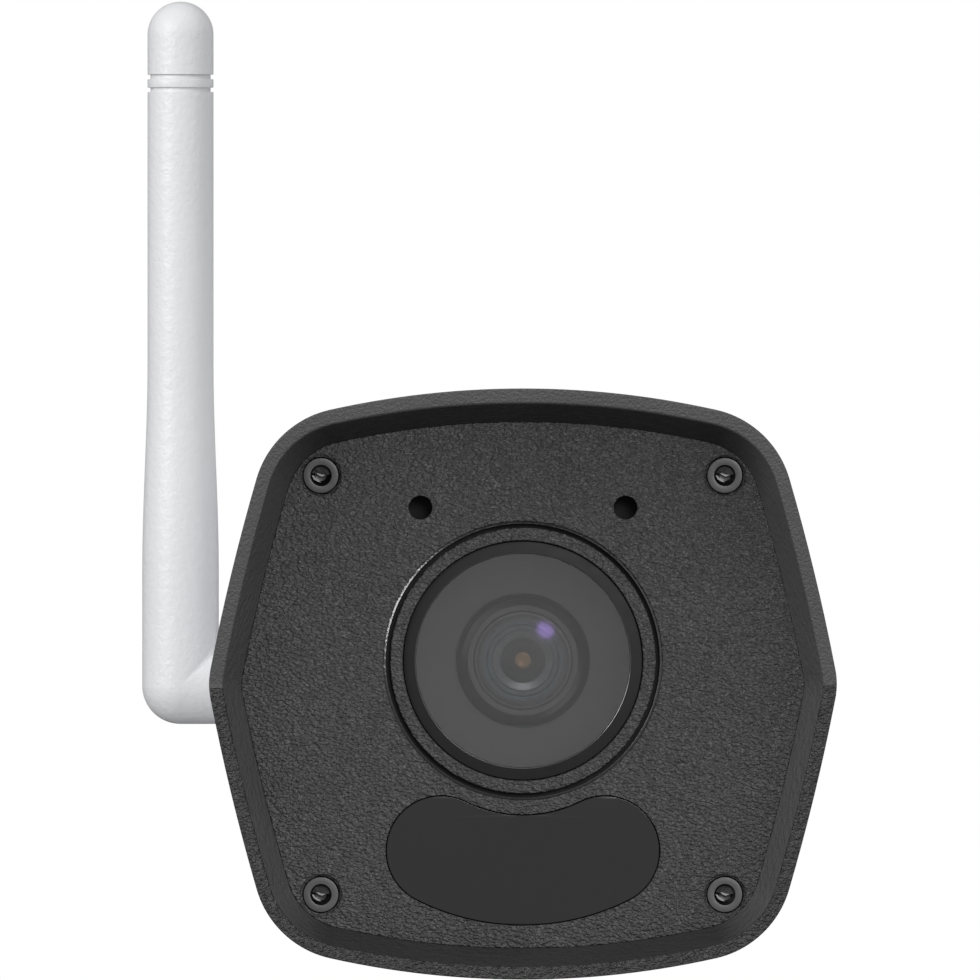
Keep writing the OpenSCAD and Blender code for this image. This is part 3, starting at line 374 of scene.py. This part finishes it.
def filled(bm, loops, rear, front, edge, steps=2):
    """A plate between two stations, cut out along loops of (x, y) points, with rounded edges."""
    curve = bpy.data.curves.new("cut", "CURVE")
    curve.dimensions = "2D"
    curve.fill_mode = "BOTH"
    curve.extrude = ((front - rear) / 2 - edge) * MM
    curve.bevel_depth = edge * MM
    curve.bevel_resolution = steps
    curve.offset = -edge * MM
    for loop in loops:
        spline = curve.splines.new("POLY")
        spline.points.add(len(loop) - 1)
        for point, (x, y) in zip(spline.points, loop):
            point.co = (x * MM, y * MM, 0, 1)
        spline.use_cyclic_u = True
    holder = bpy.data.objects.new("cut", curve)
    bpy.context.scene.collection.objects.link(holder)
    bpy.context.view_layer.update()
    mesh = bpy.data.meshes.new_from_object(holder.evaluated_get(bpy.context.evaluated_depsgraph_get()))
    level = (rear + front) / 2 * MM
    for v in mesh.vertices:
        v.co = (v.co.x, -(v.co.z + level), v.co.y)
    bm.from_mesh(mesh)
    bpy.data.objects.remove(holder)
    bpy.data.curves.remove(curve)
    bpy.data.meshes.remove(mesh)


def circle(x, y, r, count=64):
    return [(x + r * math.cos(a), y + r * math.sin(a)) for a in turns(count)]


# ---------------------------------------------------------------- face outline

# The outline is made of arcs: the side's point, the flank, the corner, and the shallow top.
HALF_W = half_size("front_hood")[0]
POINT_R, CORNER_R, FLANK_R = 10.0, 12.9, 280.0
FLANK_START, FLANK_END, TOP_START = 11.0, 16.25, 77.4


def unit(angle):
    return Vector((math.cos(math.radians(angle)), math.sin(math.radians(angle))))


POINT_C = Vector((HALF_W - POINT_R, 0))
FLANK_C = POINT_C + (POINT_R - FLANK_R) * unit(FLANK_START)
CORNER_C = FLANK_C + (FLANK_R - CORNER_R) * unit(FLANK_END)
CORNER_TIP = CORNER_C + CORNER_R * unit(TOP_START)
TOP_R = CORNER_TIP.x / math.cos(math.radians(TOP_START))
TOP_C = CORNER_TIP - TOP_R * unit(TOP_START)
HALF_H = TOP_C.y + TOP_R


def arc(centre, radius, start, end, count):
    """Points along an arc, without its last one."""
    return [Vector(centre) + radius * unit(start + (end - start) * i / count) for i in range(count)]


def outline(inset):
    """The face outline moved inward by inset, counter-clockwise."""
    q = (
        arc(POINT_C, POINT_R - inset, 0, FLANK_START, 4)
        + arc(FLANK_C, FLANK_R - inset, FLANK_START, FLANK_END, 8)
        + arc(CORNER_C, CORNER_R - inset, FLANK_END, TOP_START, 20)
        + arc(TOP_C, TOP_R - inset, TOP_START, 90, 14)
        + [Vector((0, HALF_H - inset))]
    )
    n = len(q) - 1
    return (
        [(q[i].x, q[i].y) for i in range(n)]
        + [(-q[i].x, q[i].y) for i in range(n, 0, -1)]
        + [(-q[i].x, -q[i].y) for i in range(n)]
        + [(q[i].x, -q[i].y) for i in range(n, 0, -1)]
    )


# ---------------------------------------------------------------- hood

HOOD_REAR, VISOR_FRONT = stations("front_hood")
PLATE_REAR = stations("microphone")[1]
PLATE_FRONT = PLATE_REAR + 3.5
VISOR_REACH = 9.0
RIM_S = VISOR_FRONT - VISOR_REACH
RIM_W = 1.8
PLATE_INSET = 4.2
OUTLINE_LIFT = 0.2


def hood_ring(inset, s, visor, lift):
    """A ring of the hood; visor says how much of the upper half's forward lean it takes."""
    return [(x, y + lift, s + visor * VISOR_REACH * max(0, y) / HALF_H) for x, y in outline(inset)]


def make_hood():
    """The tapered hood, with its rim of two grains, the lower half painted darker as shade, its inner
    walls, painted lighter at the sides as light and darker at roof and sill as shade, and the ledge behind
    the plate.
    """
    rear_inset, skirt, ledge, ledge_depth = 1.4, 3.5, 8.8, 3
    profile = [
        (rear_inset, HOOD_REAR, 0, 0),
        (0, RIM_S, 1, OUTLINE_LIFT),
        (RIM_W, RIM_S, 1, 0),
        (PLATE_INSET, PLATE_FRONT, 0, 0),
        (PLATE_INSET, PLATE_REAR, 0, 0),
        (ledge, PLATE_REAR, 0, 0),
        (ledge, PLATE_REAR - ledge_depth, 0, 0),
        (skirt, PLATE_REAR - ledge_depth, 0, 0),
        (skirt, HOOD_REAR, 0, 0),
    ]
    corner = 4  # rings to each softened corner
    visor_rim, lower_rim, inner_wall = 0, 1, 2

    # The lower rim takes painted shade; the inner walls their painted light and shade.
    def look(k, point):
        if k < 3 * corner - 1:
            return visor_rim if point[1] > 0 or k < corner else lower_rim
        return inner_wall

    bm = bmesh.new()
    bridge(bm, [hood_ring(*p) for p in soften(profile, 0.22)], True, look)
    return add_piece("hood", bm, [hood_dark, rim_shaded, wall_lit_and_shaded], "camera", ["front_hood"])


# ---------------------------------------------------------------- face plate, screws and infrared window

LENS_Y = middle("window_glass")[1]
AXIS = forward(0, LENS_Y)
WINDOW_R = 15.7
GROOVE_IN, GROOVE_OUT, LIP_OUT = 17.35, 17.9, 18.25
LIP_DEPTH, GROOVE_DEPTH = 0.3, 0.9
HOLE_X, HOLE_Y = middle("light_sensor")[:2]
SCREW_HEAD = 2.3
SCREW_X = half_size("face_screws")[0] - SCREW_HEAD
SCREW_Y = half_size("face_screws")[1] - SCREW_HEAD
CORNERS = [(i * SCREW_X, j * SCREW_Y) for i in (-1, 1) for j in (-1, 1)]
LOBE_X, LOBE_Y, LOBE_R, BELLY_R, NOTCH_Y = 10.7, -21.65, 7.25, 31.0, -0.2
FINE_SEGMENTS = 192
SMALL_SEGMENTS = 64
HOLE_R, SEAT_R, SHANK_R = 1.55, 2.72, 1.5
OVERLAP = 0.01


def kidney(inset):
    """The infrared window: belly, right lobe, notch below the lens, left lobe."""
    lobe, notch = Vector((LOBE_X, LOBE_Y)), Vector((0, NOTCH_Y))
    belly = Vector((0, LOBE_Y + math.sqrt((BELLY_R - LOBE_R) ** 2 - LOBE_X**2)))
    belly_a = math.degrees(math.atan2(LOBE_Y - belly.y, LOBE_X))
    notch_a = math.degrees(math.atan2(LOBE_Y - notch.y, LOBE_X))
    notch_r = (lobe - notch).length - LOBE_R
    return (
        arc(belly, BELLY_R - inset, -180 - belly_a, belly_a, 32)
        + arc(lobe, LOBE_R - inset, belly_a, 180 + notch_a, 32)
        + arc(notch, notch_r + inset, notch_a, -180 - notch_a, 24)
        + arc((-LOBE_X, LOBE_Y), LOBE_R - inset, -notch_a, 180 - belly_a, 32)
    )


def plate_slab(bm, rear, front, ring_r, kidney_inset, screw_r, edge, steps):
    """One layer of the plate, with openings for the lens, the kidney, two holes and four screws."""
    loops = [outline(PLATE_INSET + OVERLAP), circle(0, LENS_Y, ring_r, 160), kidney(kidney_inset)]
    loops += [circle(i * HOLE_X, HOLE_Y, HOLE_R, 48) for i in (-1, 1)]
    loops += [circle(x, y, screw_r) for x, y in CORNERS]
    filled(bm, loops, rear, front, edge, steps)


def make_plate():
    """The grained plate with the ring round the lens window and its groove."""
    top = PLATE_FRONT
    step = PLATE_REAR + 1.3
    shelf_r, shelf = 14.0, PLATE_REAR + 0.9
    round_in = 0.13
    lip = LIP_OUT + OVERLAP
    bm = bmesh.new()
    plate_slab(bm, step, top, LIP_OUT, 0, SEAT_R, 0.12, 2)
    plate_slab(bm, PLATE_REAR, step, GROOVE_IN, 1.2, SHANK_R, 0.02, 0)
    ring = [
        (shelf_r, PLATE_REAR), (shelf_r, shelf), (WINDOW_R, shelf), (WINDOW_R, top - 0.2),
        (WINDOW_R + 0.1, top), (GROOVE_IN - round_in, top), (GROOVE_IN, top - round_in),
        (GROOVE_IN, top - GROOVE_DEPTH), (GROOVE_OUT, top - GROOVE_DEPTH), (GROOVE_OUT, top - LIP_DEPTH),
        (lip, top - LIP_DEPTH), (lip, PLATE_REAR),
    ]
    revolve(bm, soften(ring, 0.03), AXIS, segments=FINE_SEGMENTS)
    # The groove's floor and walls get the near-black painted shade.
    margin, rounding = 0.05, 0.22
    recolour(bm, 1, lambda x, y, s: (
        GROOVE_IN - margin < math.hypot(x, y - LENS_Y) < GROOVE_OUT + margin and s < top - rounding
    ))
    rim, bore = SEAT_R + 0.02, SEAT_R - 0.3
    seat = [(rim, top), (bore, top - 0.45), (bore, step), (rim, step)]
    for x, y in CORNERS:
        revolve(bm, soften(seat, 0.06), forward(x, y), segments=SMALL_SEGMENTS)
    return add_piece("face_panel", bm, [plate_dark, groove_shade_and_hole_black], "camera", ["face_plate"])


def make_bead():
    """The fine raised bead on the groove's outer side."""
    top = PLATE_FRONT
    bead = [
        (GROOVE_OUT, top - LIP_DEPTH), (GROOVE_OUT, top + 0.02), (GROOVE_OUT + 0.03, top + 0.18),
        (LIP_OUT, top), (LIP_OUT, top - LIP_DEPTH),
    ]
    bm = bmesh.new()
    revolve(bm, soften(bead, 0.03), AXIS, segments=FINE_SEGMENTS)
    return add_piece("lens_ring_bead", bm, bead_dark, "camera", [], NODE_SLOT["face_plate"])


# The screws' materials after their own: painted shade in the recess, a painted sheen on the shelf in it,
# and painted glints on its two edges.
SOCKET_SHADE, SHELF_SHEEN, GLINT_EDGES = 1, 2, 3


def wedge(bm, loop, x, y, floor, top, look):
    """A closed prism under a loop of points."""
    low = [bm.verts.new(to_frame((x + u, y + v, floor))) for u, v in loop]
    high = [bm.verts.new(to_frame((x + u, y + v, top))) for u, v in loop]
    n = len(loop)
    made = [bm.faces.new((low[i], low[(i + 1) % n], high[(i + 1) % n], high[i])) for i in range(n)]
    for ring in (low, high):
        made += bmesh.ops.triangulate(bm, faces=[bm.faces.new(ring)])["faces"]
    for face in made:
        face.material_index = look


def make_face_screws():
    """Four round-headed screws whose drive recess is painted dark as shade, with a shelf painted lighter as
    sheen and two edges painted bright as glints.
    """
    rear, front = stations("face_screws")
    seat = PLATE_FRONT - 2.2
    head, shank, socket = 2.28, 1.05, 1.38
    floor, bottom = front - 1.15, 1.3
    profile = [
        (0, rear), (shank * 0.6, rear), (shank, rear + 1), (shank, seat), (head, seat), (head, front),
        (socket, front), (socket, front - 0.55), (0.75, floor), (0, front - 1.2),
    ]
    bend = [math.radians(d) for d in range(8, 173, 12)]
    shelf = [(1.25 * math.cos(a), 1.25 * math.sin(a)) for a in bend]
    shelf += [(-0.55, 0.2), (-0.05, 0.02), (0.5, 0)]
    crest_glint = [(0.62, 0.06), (0.1, 0.14), (-0.4, 0.3), (-0.62, 0.3), (-0.25, 0.0), (0.1, -0.14)]
    blade_glint = [
        (-1.2, 0.0), (-0.95, 0.02), (-0.72, -0.3), (-0.3, -0.62), (0.0, -0.88), (-0.45, -0.8),
        (-0.92, -0.5),
    ]
    bm = bmesh.new()
    for x, y in CORNERS:
        revolve(bm, soften(profile, 0.07, False), forward(x, y), closed=False, segments=SMALL_SEGMENTS)
        recolour(bm, SOCKET_SHADE, lambda u, v, s: (
            math.hypot(u - x, v - y) < socket and 0.05 < front - s < bottom
        ))
        wedge(bm, shelf, x, y, floor, front - 0.75, SHELF_SHEEN)
        wedge(bm, crest_glint, x, y, floor, front - 0.4, GLINT_EDGES)
        wedge(bm, blade_glint, x, y, floor, front - 0.55, GLINT_EDGES)
    # The shelf takes the inner wall's colour, lighter than the recess, as a painted sheen.
    materials = [screw_black, socket_painted_shade, wall_lit_and_shaded, socket_painted_glint]
    add_piece("face_panel_screws", bm, materials, "camera", ["face_screws"])


def make_ir_window():
    rear, front = stations("ir_window")
    gap, edge = 0.12, 0.06
    bm = bmesh.new()
    filled(bm, [kidney(gap)], rear, front, edge, 2)
    add_piece("infrared_window", bm, ir_black, "camera", ["ir_window"])


# ---------------------------------------------------------------- lens and its window

GLASS_R = 14.0


def make_window():
    """The clear pane, and its black border with a fine polished inner edge, painted lighter as a highlight.
    """
    rear, front = stations("window_glass")
    pane = [(0, rear), (GLASS_R, rear), (GLASS_R, front), (0, front)]
    shown = lathe_piece("lens_window", pane, AXIS, window_clear, "window_glass", 0.12, False, FINE_SEGMENTS)
    shown.visible_shadow = False
    bottom = stations("window_gasket")[0]
    inner, outer, polished = GLASS_R + 0.03, WINDOW_R - 0.12, 0.1
    ring = [
        (inner, bottom), (outer, bottom), (outer, front - 0.05), (inner + polished, front + 0.07),
        (inner, front + 0.02),
    ]
    bm = bmesh.new()
    revolve(bm, soften(ring, 0.04), AXIS, segments=FINE_SEGMENTS)
    # Faces of the inner edge get the painted highlight.
    recolour(bm, 1, lambda x, y, s: s > front and math.hypot(x, y - LENS_Y) < inner + polished - 0.01)
    add_piece("lens_window_border", bm, [border_black, border_painted_highlight], "camera", ["window_gasket"])
    return shown


def sphere_rise(r, ball):
    """How far a sphere's surface lies below its top at a radius."""
    return ball - math.sqrt(ball * ball - r * r)


def make_barrel():
    """The baffle behind the pane, the lens tube and the ring that clamps its glass."""
    floor = stations("lens_baffle")[0]
    hole, inside, outside, wall = 8.75, 14.2, 15, 0.8
    tube = [
        (hole, floor), (outside, floor), (outside, PLATE_REAR), (inside, PLATE_REAR),
        (inside, floor + wall), (hole, floor + wall),
    ]
    baffle = lathe_piece("light_baffle", tube, AXIS, baffle_grey, "lens_baffle", 0.15, True, 128)
    rear, front = stations("lens_barrel")
    bore, thread, head, mouth = 5.4, 6, 7.25, 6.45
    barrel = [
        (3.5, rear), (thread, rear), (thread, front - 5), (head, front - 5), (head, front), (mouth, front),
        (mouth, front - 1), (bore, front - 1), (bore, rear + 1), (3.5, rear + 1),
    ]
    holder = lathe_piece("lens_tube", barrel, AXIS, barrel_black, "lens_barrel", 0.12)
    low, high = stations("lens_retaining_ring")
    ring = [
        (5.35, low), (6.4, low), (6.4, high - 0.1), (6.0, high), (5.5, high - 0.35), (5.25, high - 0.5),
        (5.25, low),
    ]
    clamp = lathe_piece("lens_clamp_ring", ring, AXIS, clamp_black, "lens_retaining_ring", 0.06)
    return [baffle, holder, clamp]


def make_front_glass():
    """A thin coated dome that rests on the clamp ring."""
    ball, radius, wall, steps = 20.0, 6.3, 0.5, 60
    front = stations("lens_barrel")[1] + sphere_rise(radius, ball)
    radii = [radius * i / steps for i in range(steps + 1)]
    face = [(r, front - sphere_rise(r, ball)) for r in radii]
    back = [(r, front - wall - sphere_rise(r, ball - wall)) for r in radii]
    bm = bmesh.new()
    revolve(bm, face + back[::-1], AXIS, closed=False, segments=256)
    shown = add_piece("lens_front_glass", bm, coated, "camera", ["front_element"])
    shown.visible_shadow = False
    return shown


LENS_TOP = stations("inner_elements")[1]
LENS_FLOOR = LENS_TOP - 2.6
ELEMENT_R = 1.75


def make_bevel():
    """The bright bevel round the stop."""
    deep = LENS_TOP - 2.2
    ring = [(3.95, LENS_TOP + 0.05), (2.95, LENS_TOP - 0.28), (2.95, deep), (4.0, deep)]
    return lathe_piece("lens_bevel_ring", ring, AXIS, cone_grey, "aperture_stop", 0.03)


def make_steps():
    """The barrel's coated steps, down to the black floor round the small elements."""
    floor_rings = 8
    steps = [
        (5.35, LENS_TOP + 0.76), (4.75, LENS_TOP + 0.6), (4.6, LENS_TOP + 0.2), (4.05, LENS_TOP + 0.1),
        (4.05, LENS_FLOOR), (2.9, LENS_FLOOR),
    ]
    path = soften(steps, 0.04, False) + [Vector((ELEMENT_R, LENS_FLOOR))]
    last_wall = len(path) - floor_rings - 1
    bm = bmesh.new()
    revolve(bm, path, AXIS, closed=False, look=lambda k, point: int(k >= last_wall))
    return add_piece("lens_steps", bm, [inner_teal, inner_black], "camera", ["inner_elements"])


def make_inner_glass():
    """The small gold-coated element, with a hollow in the middle of its crown."""
    hollow, convex, concave, steps = 0.8, 3.0, 2.2, 8
    crown = LENS_FLOOR + sphere_rise(ELEMENT_R, convex)
    well = crown - sphere_rise(hollow, convex) - sphere_rise(hollow, concave)
    swell = [hollow + (ELEMENT_R - hollow) * i / steps for i in range(steps, -1, -1)]
    bowl = [hollow * i / steps for i in range(steps - 1, -1, -1)]
    path = [(ELEMENT_R, LENS_FLOOR)]
    path += [(r, crown - sphere_rise(r, convex)) for r in swell]
    path += [(r, well + sphere_rise(r, concave)) for r in bowl]
    bm = bmesh.new()
    revolve(bm, path, AXIS, closed=False)
    return add_piece("lens_inner_glass", bm, inner_gold, "camera", ["inner_elements"])


# ---------------------------------------------------------------- antenna

SWIVEL_S = middle("antenna_tube")[2]
tube_low, tube_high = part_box("antenna_tube")
FOOT_R = half_size("antenna_tube")[2]
ROD_X = tube_low.x / MM + FOOT_R
ROD_R = half_size("antenna_cap")[0]
SWIVEL_Y = tube_low.z / MM + FOOT_R
CAP_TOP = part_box("antenna_cap")[1].z / MM
TUBE_TOP = tube_high.z / MM
STUB_END = tube_high.x / MM
ROD_AXIS = upright(ROD_X, SWIVEL_S)
ELBOW_FILLET = 1.1
TAPER_LOW, TAPER_HIGH = 15.0, 42.0


def turned_ring(radius, height):
    """A level ring round the rod's axis."""
    return [ROD_AXIS(radius * math.cos(a), radius * math.sin(a), height) for a in turns(SEGMENTS)]


def elbow_ring(u):
    """A ring of the elbow, from level at u = 0 to upright at u = 1. Its inner corner is a tight fillet."""
    ring = []
    turn = u * math.pi / 2
    for a in turns(SEGMENTS):
        depth, out = FOOT_R * math.sin(a), FOOT_R * math.cos(a)
        if out > 0:
            fillet = ELBOW_FILLET * (out / FOOT_R) ** 1.5
            x = out + fillet - fillet * math.cos(turn)
            y = out + fillet - fillet * math.sin(turn)
        else:
            x, y = out * math.cos(turn), out * math.sin(turn)
        ring.append((ROD_X + x, SWIVEL_Y + y, SWIVEL_S + depth))
    return ring


def stub_ring(radius, x):
    """An upright ring round the swivel's axis."""
    return [(x, SWIVEL_Y + radius * math.cos(a), SWIVEL_S + radius * math.sin(a)) for a in turns(SEGMENTS)]


def rod_radius(height):
    """The rod's radius with its long smooth taper above the foot."""
    u = min(1, max(0, (height - TAPER_LOW) / (TAPER_HIGH - TAPER_LOW)))
    return FOOT_R + (ROD_R - FOOT_R) * u * u * (3 - 2 * u)


def make_antenna():
    """The rod with two grooves below its tip, the elbow and the stub that enters the body."""
    groove, depth, band = 0.6, 0.38, 1.7
    waist, bore, chamfer, shaft = ROD_R - depth, 2.4, 0.25, 3.05
    top_groove = TUBE_TOP - groove
    low_groove = top_groove - band
    profile = soften([
        (bore, TUBE_TOP), (waist, TUBE_TOP), (waist, top_groove + 0.02), (ROD_R, top_groove),
        (ROD_R, low_groove + groove), (waist, low_groove + groove), (waist, low_groove),
        (ROD_R, low_groove),
    ], 0.09, False)
    spacing, lowest = 2.2, 8
    heights = [low_groove - 1 - i * spacing for i in range(30)]
    profile += [(rod_radius(h), h) for h in heights if h > lowest]
    rings = [turned_ring(r, h) for r, h in profile]
    steps = 24
    rings += [elbow_ring(i / steps) for i in range(steps + 1)]
    rings += [stub_ring(FOOT_R, STUB_END - chamfer), stub_ring(FOOT_R - chamfer, STUB_END)]
    rings.append(stub_ring(shaft, STUB_END))
    bm = bmesh.new()
    verts = bridge(bm, rings)
    bm.faces.new(verts[0])
    bm.faces.new(verts[-1])
    return add_piece("antenna_rod", bm, white_rod, "antenna", ["antenna_tube"], crease=50)


def make_antenna_cap():
    """The domed tip with the neck that plugs into the rod."""
    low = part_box("antenna_cap")[0].z / MM
    centre = CAP_TOP - ROD_R
    neck = 2.35
    foot = [(0, low), (neck, low), (neck, TUBE_TOP), (ROD_R, TUBE_TOP), (ROD_R, centre - 1)]
    dome = [Vector((0, centre)) + ROD_R * unit(a) for a in range(0, 91, 5)]
    bm = bmesh.new()
    revolve(bm, soften(foot, 0.1, False) + dome, ROD_AXIS, closed=False)
    return add_piece("antenna_tip", bm, white_rod, "antenna", ["antenna_cap"])


# ---------------------------------------------------------------- carried-over pieces

# How far the edges of each refined CAD node are rounded, in millimetres.
EDGE = {
    "rear_cap": 0.35, "body_shell": 0.3, "wall_base": 0.4, "pan_arm": 0.7, "tilt_link": 0.6,
    "service_cover": 0.3, "tilt_nut": 0.25, "tilt_bolt": 0.3, "gland_nut": 0.3,
}
SHARP, FLAT = 28, 0.3  # degrees
CAD_SEAM = 2e-6


def refine(node, material, edge):
    """The CAD shape with its edges rounded, in place of the CAD node."""
    bm = bmesh.new()
    bm.from_mesh(nodes[node].data)
    bmesh.ops.remove_doubles(bm, verts=bm.verts, dist=CAD_SEAM)
    bmesh.ops.dissolve_limit(bm, angle_limit=math.radians(FLAT), verts=bm.verts, edges=bm.edges)
    made = add_piece(node + "_shown", bm, material, NODE_BODY[node], [node], crease=SHARP)
    bevel = made.modifiers.new("edges", "BEVEL")
    bevel.width = edge * MM
    bevel.segments = 3
    bevel.limit_method = "ANGLE"
    bevel.angle_limit = math.radians(SHARP)
    bevel.use_clamp_overlap = True
    made.modifiers.move(1, 0)


def dress(node, material):
    """A CAD node that is shown as it is, with a detailed material."""
    mesh = nodes[node].data
    mesh.materials.clear()
    mesh.materials.append(material)


# ---------------------------------------------------------------- camera, light and floor

LENS_LENGTH, SENSOR_WIDTH = 1600, 36
VIEW_WIDTH, VIEW_X, VIEW_Y = 127.94, -4.3, 25.5
LAMP_DISTANCE = 1.2
WORLD_LEVEL = 0.38
WORLD_LEAN = (0.19, -0.28, 0.33)
FLOOR_HALF, FLOOR_LEVEL = 0.5, -1.2


def make_camera():
    """A long lens straight in front of the face, wide enough for the whole view at the rim."""
    data = bpy.data.cameras.new("camera")
    made = bpy.data.objects.new("camera", data)
    bpy.context.scene.collection.objects.link(made)
    data.lens = LENS_LENGTH
    data.sensor_width = SENSOR_WIDTH
    distance = VIEW_WIDTH * LENS_LENGTH / SENSOR_WIDTH
    made.location = to_frame((VIEW_X, VIEW_Y, RIM_S + distance))
    made.rotation_euler = (math.pi / 2, 0, 0)
    data.clip_start, data.clip_end = 0.1, 20
    bpy.context.scene.camera = made


def make_lamp(name, direction, size, radiance, colour=(1, 1, 1)):
    """Soft round lamp in a direction from the face, aimed at it; radiance sets its brightness."""
    data = bpy.data.lights.new(name, "AREA")
    data.shape = "DISK"
    data.size = size
    data.energy = radiance * math.pi * math.pi * (size / 2) ** 2
    data.color = colour
    made = bpy.data.objects.new(name, data)
    bpy.context.scene.collection.objects.link(made)
    towards = Vector(direction).normalized()
    made.location = to_frame((0, 0, RIM_S)) + towards * LAMP_DISTANCE
    made.rotation_euler = (-towards).to_track_quat("-Z", "Y").to_euler()
    return made


def linked(name, pieces, state):
    """A collection for light linking that includes or excludes some pieces."""
    made = bpy.data.collections.new(name)
    for piece in pieces:
        made.objects.link(piece)
    for member in made.collection_objects:
        member.light_linking.link_state = state
    return made


def light_only(lamp, pieces):
    lamp.light_linking.receiver_collection = linked(lamp.name + "_on", pieces, "INCLUDE")


def light_not(lamp, pieces):
    lamp.light_linking.receiver_collection = linked(lamp.name + "_not_on", pieces, "EXCLUDE")


def make_lamps(hood, plate, bead, antenna, glasses, bevel, deep):
    """A key from the left, a fill for the face that the hood doesn't block, and two small lens lights."""
    inside = glasses + [bevel] + deep
    key = make_lamp("key", (-0.72, -0.6, 0.34), 0.6, 10.3)
    light_not(key, [plate] + inside)
    fill = make_lamp("face_fill", (0.25, -0.88, 0.34), 0.5, 13.2)
    light_not(fill, antenna + [bead] + inside)
    fill.light_linking.blocker_collection = linked("fill_passes", [hood], "EXCLUDE")
    glint = make_lamp("lens_glint", (0.294, -0.87, 0.395), 0.27, 9.0, (0.5, 0.3, 1.0))
    glint.visible_diffuse = False
    glint.visible_transmission = False
    light_only(glint, glasses)
    crescent = make_lamp("bevel_crescent", (0.0, -0.8, 0.6), 0.4, 8.0)
    light_only(crescent, [bevel])


def make_world():
    """White to look at. As light it is bright in front and above, and dim behind and below."""
    world = bpy.data.worlds.new("studio")
    bpy.context.scene.world = world
    world.use_nodes = True
    tree = world.node_tree
    tree.nodes.clear()
    white = (1, 1, 1, 1)
    coords = tree.nodes.new("ShaderNodeTexCoord")
    dot = tree.nodes.new("ShaderNodeVectorMath")
    dot.operation = "DOT_PRODUCT"
    dot.inputs[1].default_value = WORLD_LEAN
    tree.links.new(coords.outputs["Generated"], dot.inputs[0])
    level = tree.nodes.new("ShaderNodeMath")
    level.operation = "ADD"
    level.inputs[1].default_value = WORLD_LEVEL
    tree.links.new(dot.outputs["Value"], level.inputs[0])
    keep = add_node(tree, "ShaderNodeClamp", Min=0.03, Max=2.0)
    tree.links.new(level.outputs[0], keep.inputs["Value"])
    light = add_node(tree, "ShaderNodeBackground", Color=white)
    tree.links.new(keep.outputs[0], light.inputs["Strength"])
    seen = add_node(tree, "ShaderNodeBackground", Color=white, Strength=1.0)
    path = tree.nodes.new("ShaderNodeLightPath")
    mix = tree.nodes.new("ShaderNodeMixShader")
    out = tree.nodes.new("ShaderNodeOutputWorld")
    tree.links.new(path.outputs["Is Camera Ray"], mix.inputs[0])
    tree.links.new(light.outputs[0], mix.inputs[1])
    tree.links.new(seen.outputs[0], mix.inputs[2])
    tree.links.new(mix.outputs[0], out.inputs["Surface"])


def make_floor():
    half, level = FLOOR_HALF, FLOOR_LEVEL
    bm = bmesh.new()
    corners = [(-half, -half, level), (half, -half, level), (half, half, level), (-half, half, level)]
    bm.faces.new([bm.verts.new(c) for c in corners])
    mesh = bpy.data.meshes.new("floor")
    bm.to_mesh(mesh)
    bm.free()
    made = bpy.data.objects.new("floor", mesh)
    bpy.context.scene.collection.objects.link(made)
    mesh.materials.append(surface("floor_pale", grey(0.9), 0.7, vary=0.01))


# ---------------------------------------------------------------- the whole scene

hood = make_hood()
plate, bead = make_plate(), make_bead()
make_face_screws()
make_ir_window()
pane = make_window()
deep = make_barrel()
front_glass = make_front_glass()
bevel = make_bevel()
deep += [make_steps(), pane]
glasses = [front_glass, make_inner_glass()]
antenna = [make_antenna(), make_antenna_cap()]
for node, slot in NODE_SLOT.items():
    look = NODE_LOOK.get(node, SLOT_LOOK[slot])
    if node in EDGE:
        refine(node, look, EDGE[node])
    elif not nodes[node].hide_render:
        dress(node, look)
make_camera()
make_lamps(hood, plate, bead, antenna, glasses, bevel, deep)
make_world()
make_floor()

scene = bpy.context.scene
scene.view_settings.view_transform = "Standard"
scene.view_settings.look = "None"
